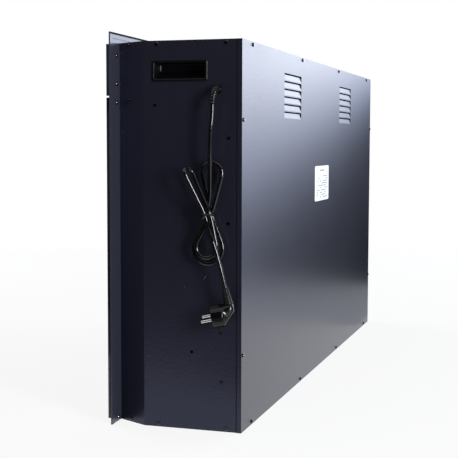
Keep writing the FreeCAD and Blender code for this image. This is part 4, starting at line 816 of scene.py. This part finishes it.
class HEARTH_OT_lead(bpy.types.Operator):
    """Mains lead with its strain relief and plug"""
    bl_idname = "hearth.lead"
    bl_label = "Mains lead"

    def execute(self, context):
        sizes = context.scene.hearth_sizes
        route = lead_route()
        lead = dressed("mains_lead", lead_curve(route, sizes.lead_diameter), "lead_rubber",
                       ["power_cord_feed", "power_cord_hank", "power_cord_tail"], BODY)
        relief = add_piece("strain_relief", relief_shells(), "plug_plastic", ["cord_strain_relief"])
        plug = add_piece("angled_plug", plug_shells(), "plug_plastic", ["plug_body"])
        return {"FINISHED"}


def rounded_rings(x, half_y, half_z, middle_y, middle_z, radius):
    """Rings in planes across X: rectangles whose corners are quarter circles of the given radius."""
    turn = np.concatenate([np.linspace(k, k + 1, CORNER_POINTS) for k in range(4)]) * math.pi / 2
    quarter = np.repeat(np.arange(4), CORNER_POINTS)
    sign_y = np.where((quarter == 0) | (quarter == 3), 1.0, -1.0)
    sign_z = np.where(quarter < 2, 1.0, -1.0)
    y = middle_y + sign_y * (half_y - radius)[:, None] + np.cos(turn) * radius[:, None]
    z = middle_z[:, None] + sign_z * (half_z - radius)[:, None] + np.sin(turn) * radius[:, None]
    return stacked(x[:, None], y, z)


def grip_shell(node_name, side):
    """Recessed grip: rings from the pocket's back out to a rounded lip, over the rim and round behind it."""
    low, high = corners_of(node_name)
    _, rim_y, rim_z = (high - low) / 2
    _, middle_y, middle_z = (high + low) / 2
    out, grow, on_rim, radius = np.array(GRIP_PROFILE).T * np.array([[MM], [MM], [1.0], [MM]])
    inset = np.where(on_rim > 0, 0.0, GRIP_RIM * MM)
    share = np.where(on_rim > 0, 0.0, np.clip((GRIP_PROUD * MM - out) / (GRIP_DEPTH * MM), 0.0, 1.0))
    roof = rim_z - inset + grow
    floor = roof - GRIP_RAMP * MM * share
    return ring_shell(rounded_rings(side * (SIDE_X * MM + out), rim_y - inset + grow, (floor + roof) / 2,
                                    middle_y, middle_z + (roof - floor) / 2, radius))


class HEARTH_OT_grips(bpy.types.Operator):
    """Recessed grips in both side panels"""
    bl_idname = "hearth.grips"
    bl_label = "Grips"

    def execute(self, context):
        for name, side in (("right", 1.0), ("left", -1.0)):
            node_name = "handle_cup_" + name
            add_piece("grip_" + name, [grip_shell(node_name, side)], "grip_plastic", [node_name])
        return {"FINISHED"}


def log_shell(start, end, radius, depth, seed):
    """Log: rings of a swelling radius less furrows, both sums of cosines, thinned towards both ends."""
    start, end = np.array(start), np.array(end)
    way = unit(end - start)
    length = np.linalg.norm(end - start)
    along = np.linspace(0.0, 1.0, LOG_ROWS)[:, None] * length
    turn = circle(LOG_COLS)[None, :]
    grid = np.broadcast_arrays(turn, along)
    furrow = 1 - np.abs(waves(seed, *grid, (5, 17), (-40.0, 40.0), 14)) ** 0.6
    swell = waves(seed + 1, *grid, (0, 3), (-14.0, 14.0), 8)
    trunk = radius * (1.0 + LOG_SWELL * swell) - depth * furrow
    ends = np.exp(-along / LOG_TAPER_RUN) + np.exp((along - length) / LOG_TAPER_RUN)
    trunk = trunk * (1 - LOG_TAPER * ends)
    side = unit(np.cross(way, [0.0, 0.0, 1.0]))
    other = np.cross(way, side)
    disc = side * np.cos(turn)[..., None] + other * np.sin(turn)[..., None]
    return ring_shell(start + way * along[..., None] + disc * trunk[..., None])


def coal_height(x, y, size, seed):
    """Height from 0 to 1 of a heap of coals: the highest of many round crowns at random places."""
    draw = np.random.default_rng(seed)
    count = int((x.max() - x.min()) * (y.max() - y.min()) / (size * size * 1.1))
    spots = stacked(draw.uniform(x.min(), x.max(), count), draw.uniform(y.min(), y.max(), count))
    widest = 1.25
    reach = size * draw.uniform(0.7, widest, count)
    away = np.hypot(x[..., None] - spots[:, 0], y[..., None] - spots[:, 1]) / reach
    crown = np.sqrt(np.clip(1 - away ** 2, 0.0, 1.0)) * reach / (widest * size)
    return crown.max(axis=-1)


def ember_shell(size):
    """Ember bed: a sloping crown less the gaps between coals, which fade at the ends, over a flat base."""
    low, high = corners_of("ember_bed")
    x, y = np.meshgrid(np.linspace(low[0], high[0], EMBER_COLS), np.linspace(high[1], low[1], EMBER_ROWS))
    crown = np.interp((high[1] - y) / (high[1] - low[1]), EMBER_SHARES, EMBER_CROWN)
    edge = np.minimum(1.0, np.minimum(x - low[0], high[0] - x) / EMBER_EDGE)
    top = crown - EMBER_GAP * (1 - coal_height(x, y, size, EMBER_SEED)) * edge
    return slab_shell(stacked(x, y, top), stacked(x, y, low[2]))


def liner_shell(side, courses, joint):
    """Liner: bricks in running bond, sunk by a smooth step of the way to the nearest joint, plain back."""
    low, high = corners_of("firebox_liners")
    rear_y, front_y = high[1], low[1]
    rear_x = high[0] - LINER_WALL
    share, z = np.meshgrid(np.linspace(0.0, 1.0, LINER_COLS), np.linspace(low[2], high[2], LINER_ROWS))
    run = math.hypot(rear_y - front_y, rear_x - LINER_FRONT)
    pitch = (high[2] - low[2]) / courses
    level = (z - low[2]) / pitch
    offset = share * run / (2 * pitch) + 0.5 * (np.floor(level) % 2) + 0.25
    bed = np.abs(level - np.round(level)) * pitch
    head = np.abs(offset - np.round(offset)) * 2 * pitch
    groove = np.clip(np.minimum(bed, head) / (joint / 2), 0.0, 1.0)
    sunk = JOINT_DEPTH * (1 - groove ** 2 * (3 - 2 * groove))
    worn = BRICK_WEAR * (1 + waves(BRICK_SEED, share * FULL_TURN, z, (1, 9), (-160.0, 160.0), 24))
    y = rear_y + (front_y - rear_y) * share
    face_x = rear_x + (LINER_FRONT - rear_x) * share + sunk + worn
    back_x = np.interp(share, [0.0, LINER_BEND, 1.0], [high[0], high[0], LINER_BACK])
    return slab_shell(stacked(side * face_x, y, z), stacked(side * back_x, y, z))


class HEARTH_OT_firebox(bpy.types.Operator):
    """Logs, ember bed and brick liners behind the glass"""
    bl_idname = "hearth.firebox"
    bl_label = "Firebox"

    def execute(self, context):
        sizes = context.scene.hearth_sizes
        logs = [log_shell(*values, sizes.bark_depth, LOG_SEED + 2 * i) for i, values in enumerate(LOG_ENDS)]
        walls = [liner_shell(side, sizes.courses, sizes.joint_width) for side in (1.0, -1.0)]
        add_piece("logs", logs, "log_resin", ["log_set"])
        add_piece("embers", [ember_shell(sizes.coal_size)], "ember_resin", ["ember_bed"])
        add_piece("brick_liners", walls, "liner_brick", ["firebox_liners"])
        return {"FINISHED"}


def hoop_shell(outer, inner, front, back):
    """Flat hoop: an outer and an inner outline in X and Z, each at the front and at the back in Y."""
    points = np.concatenate([np.insert(line, 1, y, axis=1) for line, y in (
        (outer, front), (outer, back), (inner, back), (inner, front))])
    return outward(points, grid_faces(5, len(outer), True) % len(points))


def box_middle(low, high):
    """Middle of a box in X and Z, and half its size there."""
    low, high = np.array(low)[[0, 2]], np.array(high)[[0, 2]]
    return (low + high) / 2, (high - low) / 2


class HEARTH_OT_border(bpy.types.Operator):
    """Black printed border on the back of the glass, which lets the lamps into the firebox"""
    bl_idname = "hearth.border"
    bl_label = "Glass border"

    def execute(self, context):
        low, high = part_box("front_glass")
        middle, half = box_middle(low, high)
        corners = np.array([(-1, -1), (1, -1), (1, 1), (-1, 1)])
        band = hoop_shell(middle + corners * half, middle + corners * (half - BORDER_WIDTH),
                          high[1], high[1] + BORDER_FILM)
        add_piece("glass_border", [band], "fascia_black")
        frame["nodes"]["front_glass"].visible_shadow = False
        return {"FINISHED"}


def stroke_shell(path, width, front, back):
    """Flat stroke: a path in X and Z, widened square to its tangent, at the front and the back in Y."""
    tangent = np.gradient(path, axis=0)
    normal = stacked(-tangent[:, 1], tangent[:, 0])
    normal *= width / 2 / np.linalg.norm(normal, axis=1)[:, None]
    edges = np.stack([path - normal, path + normal], axis=1)
    levels = (np.broadcast_to(y, len(path))[:, None] for y in (front, back))
    return slab_shell(*(np.insert(edges, 1, level, axis=2) for level in levels))


def round_line(radius, count=48):
    """Circle in X and Z."""
    turn = circle(count)
    return stacked(radius * np.sin(turn), radius * np.cos(turn))


def flame_mark(middle, front, back):
    """Teardrop hoop: width a sine of the turn times a power of the sine of half of it, height its cosine."""
    turn = circle(64)
    drop = stacked(2.9 * np.sin(turn) * np.sin(turn / 2) ** 1.5, 3.4 * np.cos(turn)) * MM
    return [hoop_shell(middle + drop, middle + drop * 0.7 - (0.0, 0.45 * MM), front, back)]


def heat_mark(middle, front, back):
    """Three upright strokes that sway as a sine."""
    rise = np.linspace(-2.8, 2.8, 25)
    sway = 0.5 * np.sin(rise * 1.9)
    return [stroke_shell(middle + stacked(sway + x, rise) * MM, 0.7 * MM, front, back)
            for x in (-1.9, 0.0, 1.9)]


def timer_mark(middle, front, back):
    """Round clock with two hands."""
    hands = np.array([((0.0, -0.2), (0.0, 1.8)), ((-0.2, 0.0), (1.3, 0.0))]) * MM
    return [hoop_shell(middle + round_line(3.0) * MM, middle + round_line(2.4) * MM, front, back),
            *(stroke_shell(middle + hand, 0.6 * MM, front, back) for hand in hands)]


def rocker_marks(middle, half, front):
    """Bar on the upper slope and ring on the lower slope of the rocker's shallow V front."""
    bar = np.array([(0.0, 3.6), (0.0, 7.6)]) * MM
    ring, hole = (round_line(radius) * MM - (0.0, 5.6 * MM) for radius in (2.1, 1.5))

    def slope(rise):
        return front + ROCKER_DIP * (1 - np.abs(rise) / half)

    level = slope(bar[:, 1])
    points, quads, tris = hoop_shell(middle + ring, middle + hole, 0.0, 1.0)
    points[:, 1] = slope(points[:, 2] - middle[1]) + points[:, 1] * (MARK_LIFT + MARK_SINK) - MARK_LIFT
    return [stroke_shell(middle + bar, 0.7 * MM, level - MARK_LIFT, level + MARK_SINK), (points, quads, tris)]


class HEARTH_OT_marks(bpy.types.Operator):
    """Printed marks on the buttons and the rocker"""
    bl_idname = "hearth.marks"
    bl_label = "Key marks"

    def execute(self, context):
        for name, mark in (("flame", flame_mark), ("heat", heat_mark), ("timer", timer_mark)):
            low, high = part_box("button_" + name)
            shells = mark(box_middle(low, high)[0], low[1] - MARK_LIFT, low[1] + MARK_SINK)
            add_piece("mark_" + name, shells, "terminal_white", body=name + "_key")
        low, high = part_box("power_rocker")
        middle, half = box_middle(low, high)
        add_piece("mark_power", rocker_marks(middle, half[1], low[1]), "terminal_white", body="power_switch")
        return {"FINISHED"}


def bead_shell(start, end, across, out, wide, proud):
    """Half-round bead: a flattened half circle, sunk a little behind its base, carried along a line."""
    turn = np.linspace(0.0, math.pi, 9)
    side = np.concatenate([np.cos(turn), [-1.0, 1.0]]) * wide / 2
    rise = np.concatenate([np.sin(turn) * proud, [-BEAD_SUNK, -BEAD_SUNK]])
    section = side[:, None] * np.array(across) + rise[:, None] * np.array(out)
    share = np.linspace(0.0, 1.0, 41)[:, None, None]
    return ring_shell(np.array(start) + (np.array(end) - np.array(start)) * share + section)


class HEARTH_OT_shade_beads(bpy.types.Operator):
    """Black beads of painted shade along the rear panel's lips and the top of the flange"""
    bl_idname = "hearth.trim"
    bl_label = "Beads"

    def execute(self, context):
        low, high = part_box("side_panel_right")
        lip_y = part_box("rear_panel")[1][1] - LIP_INSET
        shells = [bead_shell((side * high[0], lip_y, low[2]), (side * high[0], lip_y, high[2]),
                             (0.0, 1.0, 0.0), (side, 0.0, 0.0), *LIP_SHADE_BEAD) for side in (1.0, -1.0)]
        low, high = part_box("front_flange_top")
        edge_z = high[2] - FLANGE_SHADE_BEAD[0] / 2
        shells.append(bead_shell((low[0], high[1], edge_z), (high[0], high[1], edge_z),
                                 (0.0, 0.0, 1.0), (0.0, 1.0, 0.0), *FLANGE_SHADE_BEAD))
        # Painted shade: these black beads stand in for the shadow lines at the lips and the flange's top
        # edge.
        add_piece("painted_shade_beads", shells, "tape_foam")
        return {"FINISHED"}


class HEARTH_OT_rivets(bpy.types.Operator):
    """Rivets in both side panels"""
    bl_idname = "hearth.rivets"
    bl_label = "Rivets"

    def execute(self, context):
        turn = np.radians(np.linspace(0.0, 80.0, 7))
        wide = np.concatenate([[1.0], np.cos(turn)])
        rise = np.concatenate([[-0.5], np.sin(turn)])
        shells = []
        for side in (1.0, -1.0):
            for y, z, radius, proud in RIVETS:
                steps = beside(rise * proud, y, z) * (side, 1.0, 1.0)
                shells.append(ring_shell(turned_rings(steps, [side, 0.0, 0.0], wide * radius * MM, 20)))
        add_piece("side_rivets", shells, "screw_black")
        return {"FINISHED"}


def softbox(name, place, aim, size, power, tint):
    """Rectangular lamp that the camera can't see, turned towards a point."""
    lamp = bpy.data.lights.new(name, "AREA")
    lamp.shape = "RECTANGLE"
    lamp.size, lamp.size_y = size
    lamp.energy = power
    lamp.color = tint
    holder = placed(name, lamp)
    holder.location = place
    holder.rotation_euler = (Vector(aim) - Vector(place)).to_track_quat("-Z", "Y").to_euler()
    holder.visible_camera = False


def stage_sheet(name, finish, axis, level, outline):
    """Flat stage piece square to an axis, at a level on it, through corners given on the other two axes."""
    corners = np.insert(np.array(outline, float), axis, level, axis=1)
    mesh = bpy.data.meshes.new(name)
    mesh.from_pydata(corners.tolist(), [], [range(len(corners))])
    mesh.materials.append(finish)
    sheet = placed(name, mesh)
    return sheet


def seen_rays(tree):
    """One for rays from the camera and for reflections and refractions, nought for the rest."""
    path = node(tree, "LightPath").outputs
    mirrored = math_node(tree, "MAXIMUM", path["Is Camera Ray"], path["Is Glossy Ray"])
    return math_node(tree, "MAXIMUM", mirrored, path["Is Transmission Ray"])


def floor_finish():
    """Pale floor that keeps shadows near the object and turns into the white background further off."""
    made = bpy.data.materials.new("Pale floor")
    made.use_nodes = True
    tree = made.node_tree
    tree.nodes.clear()
    away = node(tree, "VectorMath", ((0, object_place(tree)),), operation="LENGTH").outputs["Value"]
    far = ranged(tree, away, 0.8, 3.0, interpolation_type="SMOOTHSTEP")
    veil = math_node(tree, "MAXIMUM", far, times(tree, seen_rays(tree), 0.85))
    near = node(tree, "BsdfDiffuse", (("Color", (0.93, 0.93, 0.93, 1.0)),)).outputs[0]
    glow = node(tree, "Emission", (("Color", WHITE),)).outputs[0]
    mix = node(tree, "MixShader", ((0, veil), (1, near), (2, glow))).outputs[0]
    node(tree, "OutputMaterial", ((0, mix),))
    return made


def glowing_card(name, glow):
    """Nearly black card with an even glow."""
    values = {"Base Color": CARD_BLACK, "Emission Color": (*glow, 1.0), "Emission Strength": 1.0}
    return material(name, values)[0]


def graded_card():
    """Dark card with a glow that grows as a sloping ramp, from blue to nearly white."""
    made, tree, shader = material("Graded card", {
        "Base Color": (0.001, 0.001, 0.001, 1.0), "Roughness": 1.0, "Specular IOR Level": 0.0})
    axes = axes_of(tree, object_place(tree))
    reach = ranged(tree, plus(tree, axes[2], times(tree, axes[1], 0.75)), 0.8, 0.95)
    tint = mixed(tree, reach, (0.3, 0.5, 1.0, 1.0), (0.8, 0.86, 1.0, 1.0))
    tree.links.new(tint, shader.inputs["Emission Color"])
    tree.links.new(times(tree, reach, 2.9), shader.inputs["Emission Strength"])
    return made


def studio_sky(strength):
    """World, white to the camera and in reflections, that lights the object evenly but more weakly."""
    world = bpy.data.worlds.new("Studio")
    world.use_nodes = True
    tree = world.node_tree
    tree.nodes.clear()
    even = node(tree, "Background", (("Color", (0.95, 0.97, 1.0, 1.0)), ("Strength", strength))).outputs[0]
    white = node(tree, "Background", (("Color", WHITE), ("Strength", 1.0))).outputs[0]
    mix = node(tree, "MixShader", ((0, seen_rays(tree)), (1, even), (2, white))).outputs[0]
    node(tree, "OutputWorld", ((0, mix),))
    bpy.context.scene.world = world


def camera_frame(turn, dip, roll):
    """Camera axes from its turn, dip and roll: right, up and back as columns."""
    ahead = Vector((-math.cos(turn) * math.cos(dip), -math.sin(turn) * math.cos(dip), -math.sin(dip)))
    right = ahead.cross(Vector((0.0, 0.0, 1.0))).normalized()
    up = right.cross(ahead)
    rolled = right * math.cos(roll) + up * math.sin(roll)
    return Matrix((rolled, rolled.cross(ahead), -ahead)).transposed()


def add_boards():
    """Cards that are seen in reflections alone: each has a finish, an axis, a level on it and an outline."""
    black = material("Dark board", {"Base Color": CARD_BLACK, "Roughness": 1.0})[0]
    grey = glowing_card("Grey card", (0.53, 0.55, 0.59))
    deep = glowing_card("Deep grey card", (0.2, 0.2, 0.22))
    soft = glowing_card("Soft grey card", (0.1, 0.1, 0.105))
    laid = 0.004
    boards = (
        ("board_near", black, 0, 1.8, ((-5.0, 0.0), (1.1, 0.0), (1.1, 1.5), (-5.0, 1.5))),
        ("board_low", grey, 2, laid, ((-0.5, 0.13), (-1.34, 0.13), (-1.34, 1.4), (-0.5, 1.4))),
        ("board_foot", deep, 2, laid, (
            (1.25, -5.0), (1.8, -5.0), (1.8, 1.1), (0.5, 1.1), (0.82, 0.1), (1.25, -0.45))),
        ("board_front", soft, 1, -2.2, ((-4.0, 0.0), (1.79, 0.0), (1.79, 1.5), (-4.0, 1.5))),
        ("board_apron", soft, 2, laid, (
            (-4.0, -0.14), (0.62, -0.14), (1.79, -0.6), (1.79, -2.2), (-4.0, -2.2))),
        ("board_side", black, 1, 2.9, ((-0.4, 0.0), (4.0, 0.0), (4.0, 2.4), (-0.4, 2.4))),
        ("board_far", graded_card(), 0, -1.35, (
            (-1.0, 0.0), (2.5, 0.0), (2.5, 0.3), (0.72, 0.6), (0.27, 0.82), (-1.0, 2.2))),
    )
    for values in boards:
        board = stage_sheet(*values)
        board.visible_camera = False
        board.visible_diffuse = False
        board.visible_shadow = False


class HEARTH_OT_studio(bpy.types.Operator):
    """Camera, pale floor, dark boards and soft lamps"""
    bl_idname = "hearth.studio"
    bl_label = "Studio"

    def execute(self, context):
        scene = context.scene
        studio = scene.hearth_studio
        scene.view_settings.view_transform = "Standard"
        lens = bpy.data.cameras.new("View")
        lens.lens = studio.camera_lens
        lens.sensor_width = 36.0
        view = placed("View", lens)
        view.location = studio.camera_place
        view.rotation_euler = camera_frame(*studio.camera_angles).to_euler()
        scene.camera = view
        studio_sky(studio.sky)
        far = 30.0
        stage_sheet("floor", floor_finish(), 2, 0.0, ((-far, -far), (far, -far), (far, far), (-far, far)))
        add_boards()
        softbox("rear_softbox", (-3.0, 1.9, 1.7), (0.0, 0.1, 0.45), (3.4, 2.2), 86.0, (0.83, 0.9, 1.0))
        softbox("key_softbox", (2.2, 2.3, 0.84), (0.6, 0.0, 0.45), (0.6, 1.3), 95.0, (0.96, 0.98, 1.0))
        softbox("front_softbox", (-1.2, -3.0, 2.0), (0.0, 0.0, 0.3), (2.2, 1.6), 60.0, (1.0, 0.99, 0.97))
        return {"FINISHED"}


OPERATORS = (
    HEARTH_OT_studio, HEARTH_OT_paint, HEARTH_OT_lead, HEARTH_OT_grips, HEARTH_OT_shade_beads,
    HEARTH_OT_rivets, HEARTH_OT_firebox, HEARTH_OT_border, HEARTH_OT_marks,
)
GROUPS = {"hearth_finishes": HearthFinishes, "hearth_sizes": HearthSizes, "hearth_studio": HearthStudio}


class VIEW3D_PT_hearth(bpy.types.Panel):
    """Sidebar panel with the insert's pieces"""
    bl_label = "Fireplace insert"
    bl_space_type = "VIEW_3D"
    bl_region_type = "UI"
    bl_category = "Hearth"

    def draw(self, context):
        for operator in OPERATORS:
            self.layout.operator(operator.bl_idname)
        for name, group in GROUPS.items():
            column = self.layout.column()
            for key in group.__annotations__:
                column.prop(getattr(context.scene, name), key)


CLASSES = (*GROUPS.values(), *OPERATORS, VIEW3D_PT_hearth)


def register():
    """Register the classes and give every scene their values."""
    for made in CLASSES:
        bpy.utils.register_class(made)
    for name, group in GROUPS.items():
        setattr(bpy.types.Scene, name, PointerProperty(type=group))


def unregister():
    """Take the values and the classes away again."""
    for name in GROUPS:
        delattr(bpy.types.Scene, name)
    for made in reversed(CLASSES):
        bpy.utils.unregister_class(made)


def main():
    """Register and dress the insert piece by piece."""
    register()
    bpy.ops.hearth.studio()
    bpy.ops.hearth.paint()
    bpy.ops.hearth.lead()
    bpy.ops.hearth.grips()
    bpy.ops.hearth.trim()
    bpy.ops.hearth.rivets()
    bpy.ops.hearth.firebox()
    bpy.ops.hearth.border()
    bpy.ops.hearth.marks()


if __name__ == "__main__":
    main()
